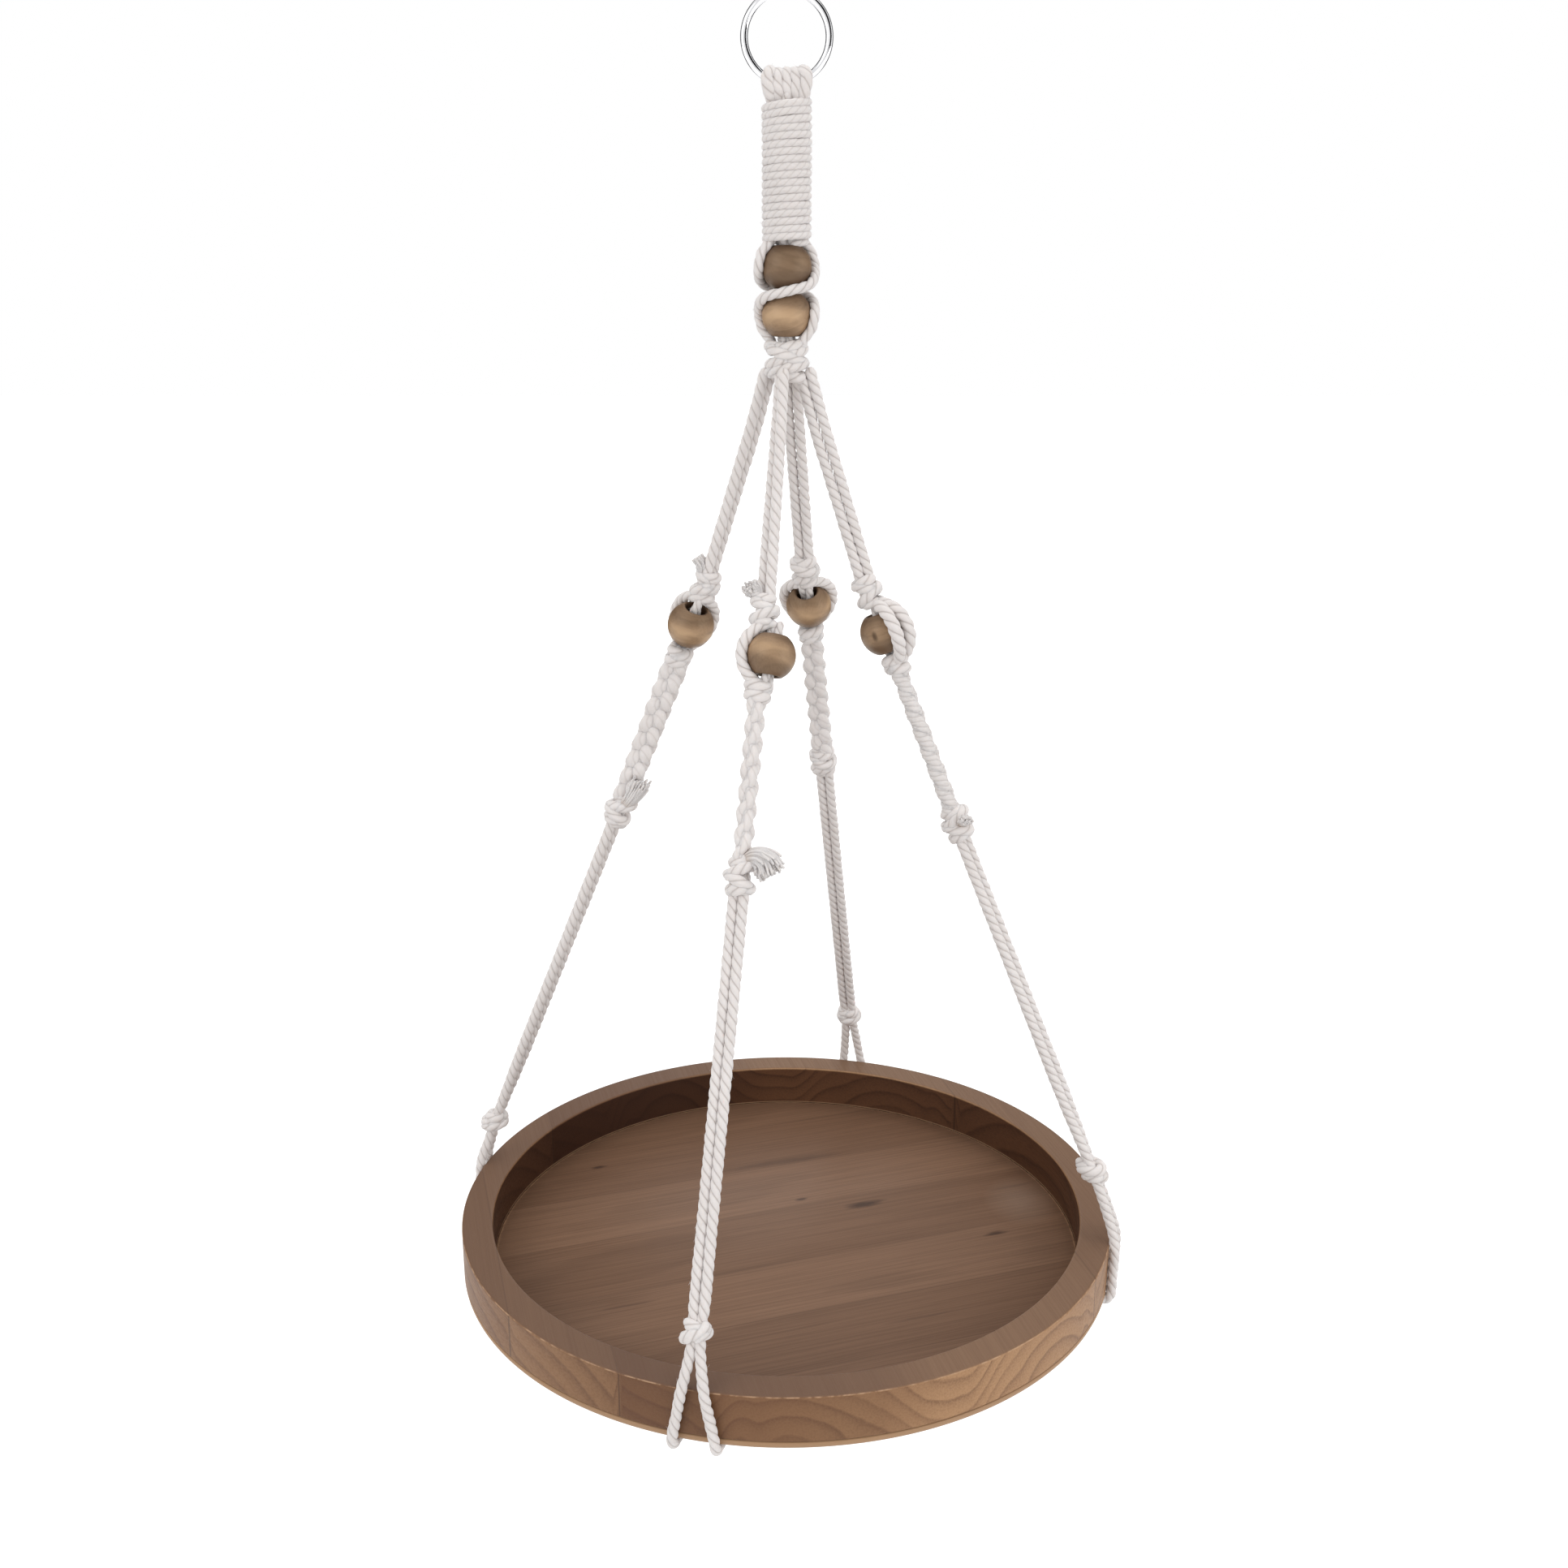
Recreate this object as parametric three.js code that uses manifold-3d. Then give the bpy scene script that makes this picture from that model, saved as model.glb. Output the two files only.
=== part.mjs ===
// Hanging rope shelf: a round wooden tray in a sling of cotton cord. Four legs, each with a
// bead and a braid, gather under a wrapped neck that hangs from a steel ring.
// Millimetres, +Z up, +X to the right, the front leg towards -Y.
// The origin is where a hook bears on the inside of the ring. Heights are measured from the
// top face of the tray's rim, and the group at the end lowers the shelf to the origin.
import * as THREE from 'three';
import { mergeVertices } from 'three/addons/utils/BufferGeometryUtils.js';
import Module from 'manifold-3d';

const wasm = await Module();
wasm.setup();

// Fits and cutting
const clearance = 0.3;            // gap between pieces that touch
const overrun = 3;                // how far a cord is drawn into a knot before it is trimmed

// Cord
const cordDiameter = 4;
const cordRadius = cordDiameter / 2;
const cordSides = 8;
const weldDistance = cordDiameter / 10000;
const pairGap = 0.3;              // between the two cords of a leg
const pairOffset = (cordDiameter + pairGap) / 2;

// Tray
const trayRadius = 150;
const rimWidth = 14;
const rimHeight = 20.5;
const rimEdge = 0.8;              // chamfer of the rim's top edges
const glueLine = 0.3;             // between the rim and the floor
const floorThickness = 3.2;
const floorEdgeRadius = 2;        // rounded lower edge
const floorEdgeSteps = 2;
const trayFacets = 64;
const trayBottom = rimHeight + glueLine + floorThickness;

// Ring
const ringOuterRadius = 18;
const ringWire = 3;
const ringFacets = 36;
const wireFacets = 8;
const wireRadius = ringWire / 2;
const ringRadius = ringOuterRadius - wireRadius;
const swingAngle = 25;            // degrees, the ring in its loops

// Loops over the ring
const loopCount = 5;
const loopGap = 0.3;
const loopSpacing = cordDiameter + loopGap;
const loopArcSteps = 6;

// Wrapped neck
const wrapTurns = 18;
const wrapCord = 2.4;
const wrapGap = 0.46;
const wrapOuterRadius = 9;
const wrapSides = 6;
const wrapStepsPerTurn = 16;
const wrapPitch = wrapCord + wrapGap;
const wrapRadius = wrapOuterRadius - wrapCord / 2;
const coreRadius = wrapOuterRadius - wrapCord - clearance;
const coreFacets = 12;

// Beads
const beadRadius = 10;
const beadLength = 17;
const beadBore = 9;
const beadFacets = 20;
const beadArcSteps = 4;
const beadCoreRadius = 3.2;       // the two cords that fill the bore
const coreOverrun = 1;            // how far they are drawn into knot and collar and trimmed
const strandReach = beadRadius + clearance + cordRadius;
const strandSteps = 7;
const strandShares = { start: 0.14, run: 0.72 };   // of a half turn, from the bead's top

// Cords that cross over the two beads of the neck, and the bundle inside them
const neckBoreCordRadius = 3.9;
const crossingSteps = 16;
const crossingShares = { end: 0.56, high: 0.32, turn: 0.36, turnAcross: 0.86, turnFront: 0.42 };

// Knots, length along the leg and largest radius
const knotFacets = 12;
const gatherKnot = { height: 381.5, length: 16, radius: 10.4, depthShare: 0.85 };
const upperKnot = { length: 11.6, radius: 6.7, stubLength: 9, stubRadius: 2.2, stubLeanAngle: 38 };
const tailKnot = { length: 14, radius: 7.2, tailLength: 12, rootRadius: 2, tipRadius: 4.4 };
const lowerKnot = { length: 14, radius: 7.4 };
const knotShares = [[0, -1], [0.76, -1], [0.96, -0.5], [1, 0], [0.96, 0.5], [0.76, 1], [0, 1]];

// Braid below each bead, with the turns that bind its top
const braid = { width: 10.6, thickness: 8.2, collarWidth: 13.4, collarLength: 5.2 };
const braidFacets = 12;
const braidShares = [             // of the half width and of the collar's length
  ['collar', 0.75, 0], ['collar', 1, -0.3], ['collar', 0.97, -1], ['body', 1, -1.9],
];
const knotBeadGap = 3.3;          // below the upper knot, where the cords enter the bead
const beadCollarGap = 3.9;        // below the bead, above the braid's collar
const knotToBead = upperKnot.length / 2 + knotBeadGap + beadLength / 2;
const beadToCollar = beadLength / 2 + beadCollarGap;

// Neck, from the gathering knot up to the ring
const neckGap = 1.5;              // above the knot and above each of the two beads
const ringLift = 4.62;            // from the wrap to the middle of the ring's wire
const lowerNeckBeadHeight = gatherKnot.height + gatherKnot.length / 2 + neckGap + beadLength / 2;
const upperNeckBeadHeight = lowerNeckBeadHeight + beadLength + neckGap;
const wrapBottomHeight = upperNeckBeadHeight + beadLength / 2 + neckGap;
const wrapTopHeight = wrapBottomHeight + wrapCord + wrapTurns * wrapPitch;
const ringCentreHeight = wrapTopHeight + ringLift + ringRadius;
const hangHeight = ringCentreHeight + ringRadius - wireRadius;

// Profile of a leg: its distance from the shelf's axis where it leaves the gathering knot,
// at its two upper knots as shares of the sling's reach, and at its lower knot, which hangs
// inside the wall. Each leg's own knots are lifted a little above these heights.
const gatherRadius = 8;
const gatherHeight = gatherKnot.height - gatherKnot.length / 2;
const upperKnotHeight = 285;
const tailKnotHeight = 185;
const lowerKnotHeight = 21;
const lowerKnotInset = 6.7;
const reachShares = { upper: 0.239, tail: 0.5063 };

// Sling: the cords run down the wall and under the tray to the opposite leg
const slingReach = trayRadius + clearance + cordRadius;
const slingCorner = floorEdgeRadius + clearance + cordRadius;
const slingFloor = trayBottom + clearance + cordRadius;
const rimSpread = 9.4;            // between the two cords at the rim
const floorSpread = 17.5;         // and under the floor
const slingLayer = cordDiameter + clearance;
const slingDip = 14;              // half the run that lies below the crossing pair
const slingRamp = 26;             // and the run in which it climbs back
const runShares = [0, 0.2, 0.4, 0.6, 0.8, 1];     // of the run between two knots
const wallShares = [0.5, 1];                      // of the tray's wall
const rampShares = [[1, 0], [0.67, 0.2], [0.33, 0.8], [0, 1]];   // of its length and depth
const cornerSteps = 3;
const upperCordSteps = 5;

// What differs from leg to leg: how far its knots are lifted, how far its bead is pushed
// along the tangent, and in degrees its azimuth, the lean of its bead,
// the bearings of the two strands beside the bead and those of the cut ends. A bearing is
// taken from the outward side of the leg. A leg with no cut end there has null.
const frontLeg = {
  name: 'front', azimuthAngle: 256.2, upperLift: 0, tailLift: 1, lowerLift: 1,
  beadShift: 4.2, leanOutAngle: 0, leanSideAngle: 4, strandAngles: [-62, -118],
  stubAngle: -90, endAngle: 78,
};
const rightLeg = {
  name: 'right', azimuthAngle: 346.2, upperLift: 3, tailLift: 5, lowerLift: 12,
  beadShift: 0, leanOutAngle: 0, leanSideAngle: 0, strandAngles: [-70, -24],
  stubAngle: null, endAngle: -60,
};
const rearLeg = {
  name: 'rear', azimuthAngle: 76.2, upperLift: 5, tailLift: 8, lowerLift: 10,
  beadShift: 0, leanOutAngle: -12, leanSideAngle: 0, strandAngles: [72, -48],
  stubAngle: null, endAngle: null,
};
const leftLeg = {
  name: 'left', azimuthAngle: 166.2, upperLift: 2, tailLift: 0, lowerLift: 0,
  beadShift: 0, leanOutAngle: 0, leanSideAngle: 12, strandAngles: [-122, -36],
  stubAngle: 10, endAngle: 168,
};
const [front, right, rear, left] = [frontLeg, rightLeg, rearLeg, leftLeg].map((leg) => ({
  ...leg,
  upper: upperKnotHeight + leg.upperLift,
  tail: tailKnotHeight + leg.tailLift,
  lower: lowerKnotHeight + leg.lowerLift,
}));

const materials = {
  cord: new THREE.MeshStandardMaterial({ color: 0xe6e0da, roughness: 0.95, metalness: 0 }),
  bead: new THREE.MeshStandardMaterial({ color: 0x8c7358, roughness: 0.42, metalness: 0 }),
  rim: new THREE.MeshStandardMaterial({ color: 0x8f7058, roughness: 0.6, metalness: 0 }),
  floor: new THREE.MeshStandardMaterial({ color: 0x7a6252, roughness: 0.55, metalness: 0 }),
  steel: new THREE.MeshStandardMaterial({ color: 0xd8d8da, roughness: 0.12, metalness: 1 }),
};

const radians = THREE.MathUtils.degToRad;

// Helpers

function addMesh(group, name, geometry, material) {
  const mesh = new THREE.Mesh(geometry, material.clone());
  mesh.name = name;
  group.add(mesh);
  return mesh;
}

// A closed geometry as a solid that can be cut.
function toSolid(geometry) {
  const bare = geometry.clone();
  bare.deleteAttribute('normal');
  bare.deleteAttribute('uv');
  const merged = mergeVertices(bare, weldDistance);
  const mesh = new wasm.Mesh({
    numProp: 3,
    vertProperties: new Float32Array(merged.attributes.position.array),
    triVerts: new Uint32Array(merged.index.array),
  });
  return new wasm.Manifold(mesh);
}

function toGeometry(solid) {
  const mesh = solid.getMesh();
  const geometry = new THREE.BufferGeometry();
  const stride = mesh.numProp;
  const count = mesh.vertProperties.length / stride;
  const positions = new Float32Array(count * 3);
  for (let i = 0; i < count; i += 1) {
    positions.set(mesh.vertProperties.subarray(i * stride, i * stride + 3), i * 3);
  }
  geometry.setAttribute('position', new THREE.BufferAttribute(positions, 3));
  geometry.setIndex(new THREE.BufferAttribute(new Uint32Array(mesh.triVerts), 1));
  geometry.computeVertexNormals();
  return geometry;
}

// The geometry with every cutter taken away.
function trim(geometry, cutters) {
  let solid = toSolid(geometry);
  for (const cutter of cutters) {
    solid = solid.subtract(toSolid(cutter));
  }
  return toGeometry(solid);
}

function regularPolygon(sides, radius) {
  const points = [];
  for (let i = 0; i < sides; i += 1) {
    const angle = (2 * Math.PI * i) / sides;
    points.push(new THREE.Vector2(radius * Math.cos(angle), radius * Math.sin(angle)));
  }
  return new THREE.Shape(points);
}

// A smooth curve whose steps follow its chosen points, so that they lie closer in a bend.
class Route extends THREE.CatmullRomCurve3 {
  getUtoTmapping(u) {
    return u;
  }
}

function tube(curve, radius, sides, steps) {
  const shape = regularPolygon(sides, radius);
  return new THREE.ExtrudeGeometry(shape, { steps, bevelEnabled: false, extrudePath: curve });
}

// A solid of revolution about Z from [radius, height] points.
function lathe(points, facets) {
  const profile = points.map(([radius, height]) => new THREE.Vector2(radius, height));
  return new THREE.LatheGeometry(profile, facets).rotateX(Math.PI / 2);
}

// Distance from the shelf's axis at a height on a leg.
const legProfile = [
  [gatherHeight, gatherRadius], [upperKnotHeight, reachShares.upper * slingReach],
  [tailKnotHeight, reachShares.tail * slingReach],
  [lowerKnotHeight, slingReach - lowerKnotInset], [0, slingReach],
];

function legRadius(height) {
  let row = 0;
  while (row < legProfile.length - 2 && height < legProfile[row + 1][0]) {
    row += 1;
  }
  const [topHeight, topRadius] = legProfile[row];
  const [lowHeight, lowRadius] = legProfile[row + 1];
  const along = (topHeight - height) / (topHeight - lowHeight);
  return topRadius + along * (lowRadius - topRadius);
}

// A point of a leg's plane: height, and offset along the tangent.
function legPoint(height, offset) {
  return new THREE.Vector3(legRadius(height), offset, height);
}

// The frame of a piece on a leg: Z up along the cord between two heights, X outward.
function legFrame(height, span) {
  const frame = new THREE.Matrix4();
  const up = legPoint(height + span, 0).sub(legPoint(height - span, 0)).normalize();
  const side = new THREE.Vector3(0, 1, 0);
  const out = new THREE.Vector3().crossVectors(side, up);
  frame.makeBasis(out, side, up);
  frame.setPosition(legPoint(height, 0));
  return frame;
}

// A barrel-shaped knot about Z, grown by a margin on all sides.
function knotGeometry(length, radius, grow = 0) {
  const half = length / 2 + grow;
  const reach = radius + grow;
  return lathe(knotShares.map(([r, z]) => [r * reach, z * half]), knotFacets);
}

// Tray

function trayRim() {
  const inner = trayRadius - rimWidth;
  return lathe([
    [inner, -rimHeight], [trayRadius, -rimHeight], [trayRadius, -rimEdge],
    [trayRadius - rimEdge, 0], [inner + rimEdge, 0], [inner, -rimEdge], [inner, -rimHeight],
  ], trayFacets);
}

// The floor, raised by the glue line inside the rim.
function trayFloor() {
  const points = [[0, -trayBottom]];
  const centre = trayRadius - floorEdgeRadius;
  const seat = -trayBottom + floorThickness;
  const field = trayRadius - rimWidth - clearance;
  for (let i = 0; i <= floorEdgeSteps; i += 1) {
    const angle = (Math.PI / 2) * (i / floorEdgeSteps);
    points.push([
      centre + floorEdgeRadius * Math.sin(angle),
      -trayBottom + floorEdgeRadius * (1 - Math.cos(angle)),
    ]);
  }
  points.push([trayRadius, seat], [field, seat], [field, seat + glueLine], [0, seat + glueLine]);
  return lathe(points, trayFacets);
}

// Ring and loops

function hangingRing() {
  const geometry = new THREE.TorusGeometry(ringRadius, wireRadius, wireFacets, ringFacets);
  return geometry.rotateX(Math.PI / 2).translate(0, 0, ringCentreHeight);
}

// One loop, in the plane at x across the ring's lowest part. It is as wide as the wire's
// swing asks at the loop's outer side.
function ringLoop(x) {
  const drop = Math.sqrt(ringRadius ** 2 - x ** 2);
  const sideDrop = Math.sqrt(ringRadius ** 2 - (Math.abs(x) + cordRadius) ** 2);
  const seat = wireRadius + clearance + cordRadius;
  const reach = seat + (ringRadius - sideDrop) * Math.sin(radians(swingAngle));
  const centre = ringCentreHeight - drop + (seat * ringRadius) / sideDrop - reach;
  const foot = wrapTopHeight + clearance;
  const points = [new THREE.Vector3(x, -reach, foot)];
  for (let i = 0; i <= loopArcSteps; i += 1) {
    const angle = Math.PI * (i / loopArcSteps);
    points.push(new THREE.Vector3(x, -reach * Math.cos(angle), centre + reach * Math.sin(angle)));
  }
  points.push(new THREE.Vector3(x, reach, foot));
  return tube(new Route(points), cordRadius, cordSides, points.length - 1);
}

// Wrapped neck

// The centre line of the winding: a helix with a straight run at each end.
function wrapCentre(step) {
  const last = wrapTurns * wrapStepsPerTurn;
  const turn = Math.min(Math.max(step, 0), last) / wrapStepsPerTurn;
  const beyond = step < 0 ? -wrapCord : step > last ? wrapCord : 0;
  const angle = 2 * Math.PI * turn;
  return new THREE.Vector3(
    wrapRadius * Math.cos(angle) - beyond * Math.sin(angle),
    wrapRadius * Math.sin(angle) + beyond * Math.cos(angle),
    wrapBottomHeight + wrapCord / 2 + wrapPitch * (turn + beyond / (2 * Math.PI * wrapRadius)),
  );
}

function gatheringWrap() {
  const last = wrapTurns * wrapStepsPerTurn;
  const positions = [];
  const faces = [];
  const rings = last + 3;
  for (let ring = 0; ring < rings; ring += 1) {
    const step = ring - 1;
    const centre = wrapCentre(step);
    const held = Math.min(Math.max(step, 0), last);
    const angle = (2 * Math.PI * held) / wrapStepsPerTurn;
    for (let side = 0; side < wrapSides; side += 1) {
      const around = (2 * Math.PI * side) / wrapSides;
      const out = (wrapCord / 2) * Math.cos(around);
      positions.push(
        centre.x + out * Math.cos(angle),
        centre.y + out * Math.sin(angle),
        centre.z + (wrapCord / 2) * Math.sin(around),
      );
    }
  }
  for (let ring = 0; ring < rings - 1; ring += 1) {
    for (let side = 0; side < wrapSides; side += 1) {
      const a = ring * wrapSides + side;
      const b = ring * wrapSides + ((side + 1) % wrapSides);
      faces.push(a, b + wrapSides, b, a, a + wrapSides, b + wrapSides);
    }
  }
  const end = (rings - 1) * wrapSides;
  for (let side = 1; side < wrapSides - 1; side += 1) {
    faces.push(0, side, side + 1);
    faces.push(end, end + side + 1, end + side);
  }
  const geometry = new THREE.BufferGeometry();
  geometry.setAttribute('position', new THREE.Float32BufferAttribute(positions, 3));
  geometry.setIndex(faces);
  geometry.computeVertexNormals();
  return geometry;
}

// Least gap between turns of the winding, from points on its centre line.
function wrapLeastGap() {
  const last = wrapTurns * wrapStepsPerTurn;
  let least = Infinity;
  for (let a = -1; a <= last + 1; a += 1) {
    for (let b = a + Math.round(wrapStepsPerTurn / 2); b <= last + 1; b += 1) {
      least = Math.min(least, wrapCentre(a).distanceTo(wrapCentre(b)));
    }
  }
  return least - wrapCord;
}

// The bundle of cords inside the wrap, which narrows through the two beads.
function coreBundle() {
  const shoulder = wrapBottomHeight;
  const foot = gatherKnot.height + gatherKnot.length / 2 + clearance;
  return lathe([
    [0, foot], [neckBoreCordRadius, foot], [neckBoreCordRadius, shoulder - clearance],
    [coreRadius, shoulder + clearance], [coreRadius, wrapTopHeight], [0, wrapTopHeight],
  ], coreFacets);
}

// Beads

// A turned bead about Z: a ball with flat ends and a bore.
function beadGeometry(grow = 0) {
  const half = beadLength / 2;
  const bore = beadBore / 2 - grow;
  const edge = Math.asin(half / beadRadius);
  const points = [[bore, -half - grow]];
  for (let i = 0; i <= beadArcSteps; i += 1) {
    const angle = edge * ((2 * i) / beadArcSteps - 1);
    const reach = beadRadius + grow;
    points.push([reach * Math.cos(angle), (half + grow) * (Math.sin(angle) / Math.sin(edge))]);
  }
  points.push([bore, half + grow], [bore, -half - grow]);
  return lathe(points, beadFacets);
}

// The cord that runs down one side of the upper bead, over the gap between the two beads
// and down the other side of the lower one.
function crossingCord() {
  const gapHeight = (upperNeckBeadHeight + lowerNeckBeadHeight) / 2;
  const halfStep = (upperNeckBeadHeight - lowerNeckBeadHeight) / 2;
  const crossing = Math.sqrt(strandReach ** 2 - halfStep ** 2) + clearance;
  const arc = (share) => {
    const angle = (Math.PI / 2) * share;
    return [strandReach * Math.cos(angle), strandReach * Math.sin(angle)];
  };
  const [topX, topRise] = arc(crossingShares.end);
  const [highX, highRise] = arc(crossingShares.high);
  const [, sideDrop] = arc(crossingShares.turn);
  const turnX = strandReach * crossingShares.turnAcross;
  const turnY = -strandReach * crossingShares.turnFront;
  return new Route([
    new THREE.Vector3(topX, 0, upperNeckBeadHeight + topRise),
    new THREE.Vector3(highX, 0, upperNeckBeadHeight + highRise),
    new THREE.Vector3(strandReach, 0, upperNeckBeadHeight),
    new THREE.Vector3(turnX, turnY, upperNeckBeadHeight - sideDrop),
    new THREE.Vector3(0, -crossing, gapHeight),
    new THREE.Vector3(-turnX, turnY, lowerNeckBeadHeight + sideDrop),
    new THREE.Vector3(-strandReach, 0, lowerNeckBeadHeight),
    new THREE.Vector3(-highX, 0, lowerNeckBeadHeight - highRise),
    new THREE.Vector3(-topX, 0, lowerNeckBeadHeight - topRise),
  ]);
}

// The room that the winding takes, grown on all sides.
function wrapRoom() {
  const reach = wrapOuterRadius + 2 * clearance;
  const foot = wrapBottomHeight - clearance;
  return lathe([[0, foot], [reach, foot], [reach, wrapTopHeight], [0, wrapTopHeight]], coreFacets);
}

function gatherKnotGeometry(grow = 0) {
  const knot = knotGeometry(gatherKnot.length, gatherKnot.radius, grow);
  return knot.scale(1, gatherKnot.depthShare, 1).translate(0, 0, gatherKnot.height);
}

function neck() {
  const group = new THREE.Group();
  for (let i = 0; i < loopCount; i += 1) {
    const x = (i - (loopCount - 1) / 2) * loopSpacing;
    addMesh(group, `ring_loop_${i + 1}`, ringLoop(x), materials.cord);
  }
  addMesh(group, 'gathering_wrap', gatheringWrap(), materials.cord);
  addMesh(group, 'core_bundle', coreBundle(), materials.cord);
  const upperBead = beadGeometry().translate(0, 0, upperNeckBeadHeight);
  const lowerBead = beadGeometry().translate(0, 0, lowerNeckBeadHeight);
  addMesh(group, 'upper_neck_bead', upperBead, materials.bead);
  addMesh(group, 'lower_neck_bead', lowerBead, materials.bead);
  const cord = tube(crossingCord(), cordRadius, cordSides, crossingSteps);
  const crossing = trim(cord, [gatherKnotGeometry(clearance), wrapRoom()]);
  addMesh(group, 'crossing_cord_front', crossing, materials.cord);
  addMesh(group, 'crossing_cord_rear', crossing.clone().rotateZ(Math.PI), materials.cord);
  addMesh(group, 'gather_knot', gatherKnotGeometry(), materials.cord);
  return group;
}

// Legs, each built in its own plane with X outward and turned to its azimuth

function upperKnotGeometry(leg, grow = 0) {
  const knot = knotGeometry(upperKnot.length, upperKnot.radius, grow);
  if (leg.stubAngle === null || grow > 0) {
    return knot;
  }
  const stub = new THREE.CylinderGeometry(
    upperKnot.stubRadius, upperKnot.stubRadius, upperKnot.stubLength, cordSides,
  );
  stub.rotateX(Math.PI / 2).translate(0, 0, upperKnot.stubLength / 2);
  stub.rotateY(radians(upperKnot.stubLeanAngle));
  stub.translate(upperKnot.radius - upperKnot.stubRadius, 0, upperKnot.length / 4);
  stub.rotateZ(radians(leg.stubAngle));
  return toGeometry(toSolid(knot).add(toSolid(stub)));
}

function tailKnotGeometry(leg, grow = 0) {
  const knot = knotGeometry(tailKnot.length, tailKnot.radius, grow);
  if (leg.endAngle === null || grow > 0) {
    return knot;
  }
  const { tailLength, rootRadius, tipRadius } = tailKnot;
  const tail = new THREE.CylinderGeometry(tipRadius, rootRadius, tailLength, knotFacets);
  tail.rotateX(Math.PI / 2).rotateY(Math.PI / 2);
  tail.translate(tailKnot.radius + tailLength / 2 - rootRadius, 0, 0);
  tail.rotateZ(radians(leg.endAngle));
  return toGeometry(toSolid(knot).add(toSolid(tail)));
}

// The braid hangs from the collar at z = 0. Its depth is less than its width.
function braidGeometry(length, grow = 0) {
  const halves = { collar: braid.collarWidth / 2 + grow, body: braid.width / 2 + grow };
  const points = [[0, -length], [halves.body, -length]];
  for (const [part, out, down] of [...braidShares].reverse()) {
    points.push([out * halves[part], down * braid.collarLength + grow]);
  }
  const geometry = lathe([...points, [0, grow]], braidFacets);
  return geometry.scale((braid.thickness / 2 + grow) / halves.body, 1, 1);
}

// A strand round the bead at a bearing, as an arc about the bead's centre.
function strandGeometry(bearing) {
  const points = [];
  for (let i = 0; i <= strandSteps; i += 1) {
    const angle = Math.PI * (strandShares.start + (i / strandSteps) * strandShares.run);
    points.push(new THREE.Vector3(strandReach * Math.sin(angle), 0, strandReach * Math.cos(angle)));
  }
  const geometry = tube(new Route(points), cordRadius, cordSides, strandSteps);
  return geometry.rotateZ(radians(bearing));
}

function legGroup(leg) {
  const group = new THREE.Group();
  group.rotation.z = radians(leg.azimuthAngle);
  const add = (name, geometry, material) => addMesh(group, `${leg.name}_${name}`, geometry, material);

  const along = legFrame((leg.upper + leg.tail) / 2, (leg.upper - leg.tail) / 2);
  const down = new THREE.Vector3().setFromMatrixColumn(along, 2).negate();
  const placeAt = (distance) => {
    const frame = along.clone();
    return frame.setPosition(legPoint(leg.upper, 0).addScaledVector(down, distance));
  };
  const knotFrame = placeAt(0);
  const collarFrame = placeAt(knotToBead + beadToCollar);
  const runLength = legPoint(leg.upper, 0).distanceTo(legPoint(leg.tail, 0));
  const tailFrame = placeAt(runLength);
  const braidLength = runLength - knotToBead - beadToCollar - tailKnot.length / 2 - clearance;

  const knotCutter = upperKnotGeometry(leg, clearance).applyMatrix4(knotFrame);
  const collarCutter = braidGeometry(braidLength, clearance).applyMatrix4(collarFrame);

  const lean = new THREE.Matrix4().makeRotationFromEuler(
    new THREE.Euler(radians(-leg.leanSideAngle), radians(leg.leanOutAngle), 0),
  );
  const beadFrame = placeAt(knotToBead);
  beadFrame.multiply(new THREE.Matrix4().makeTranslation(0, leg.beadShift, 0)).multiply(lean);

  for (const [letter, sign] of [['a', 1], ['b', -1]]) {
    const top = legPoint(gatherHeight + overrun, sign * pairOffset);
    const middle = legPoint((gatherHeight + leg.upper) / 2, sign * pairOffset);
    const foot = legPoint(leg.upper, sign * pairOffset);
    const cord = tube(new Route([top, middle, foot]), cordRadius, cordSides, upperCordSteps);
    const gather = gatherKnotGeometry(clearance).rotateZ(radians(-leg.azimuthAngle));
    add(`upper_cord_${letter}`, trim(cord, [gather, knotCutter]), materials.cord);
  }
  add('upper_knot', upperKnotGeometry(leg).applyMatrix4(knotFrame), materials.cord);

  add('bead', beadGeometry().applyMatrix4(beadFrame), materials.bead);
  const beadCore = (grow = 0) => {
    const top = knotToBead - upperKnot.length / 2 + coreOverrun;
    const foot = beadToCollar + coreOverrun;
    const radius = beadCoreRadius + grow;
    const core = new THREE.CylinderGeometry(radius, radius, top + foot, coreFacets);
    return core.rotateX(Math.PI / 2).translate(0, 0, (top - foot) / 2).applyMatrix4(beadFrame);
  };
  add('bead_core', trim(beadCore(), [knotCutter, collarCutter]), materials.cord);
  leg.strandAngles.forEach((bearing, i) => {
    const strand = strandGeometry(bearing).applyMatrix4(beadFrame);
    const cutters = [knotCutter, collarCutter, beadCore(clearance)];
    add(`bead_strand_${'ab'[i]}`, trim(strand, cutters), materials.cord);
  });

  add('braid', braidGeometry(braidLength).applyMatrix4(collarFrame), materials.cord);
  add('tail_knot', tailKnotGeometry(leg).applyMatrix4(tailFrame), materials.cord);

  const lowerFrame = legFrame(leg.lower, lowerKnot.length / 4);
  const lower = knotGeometry(lowerKnot.length, lowerKnot.radius).applyMatrix4(lowerFrame);
  const pair = [1, -1].map((sign) => {
    const curve = new Route(legRun(leg, sign));
    return tube(curve, cordRadius + clearance, cordSides, legRun(leg, sign).length - 1);
  });
  add('lower_knot', trim(lower, pair), materials.cord);
  return group;
}

// Sling

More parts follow.
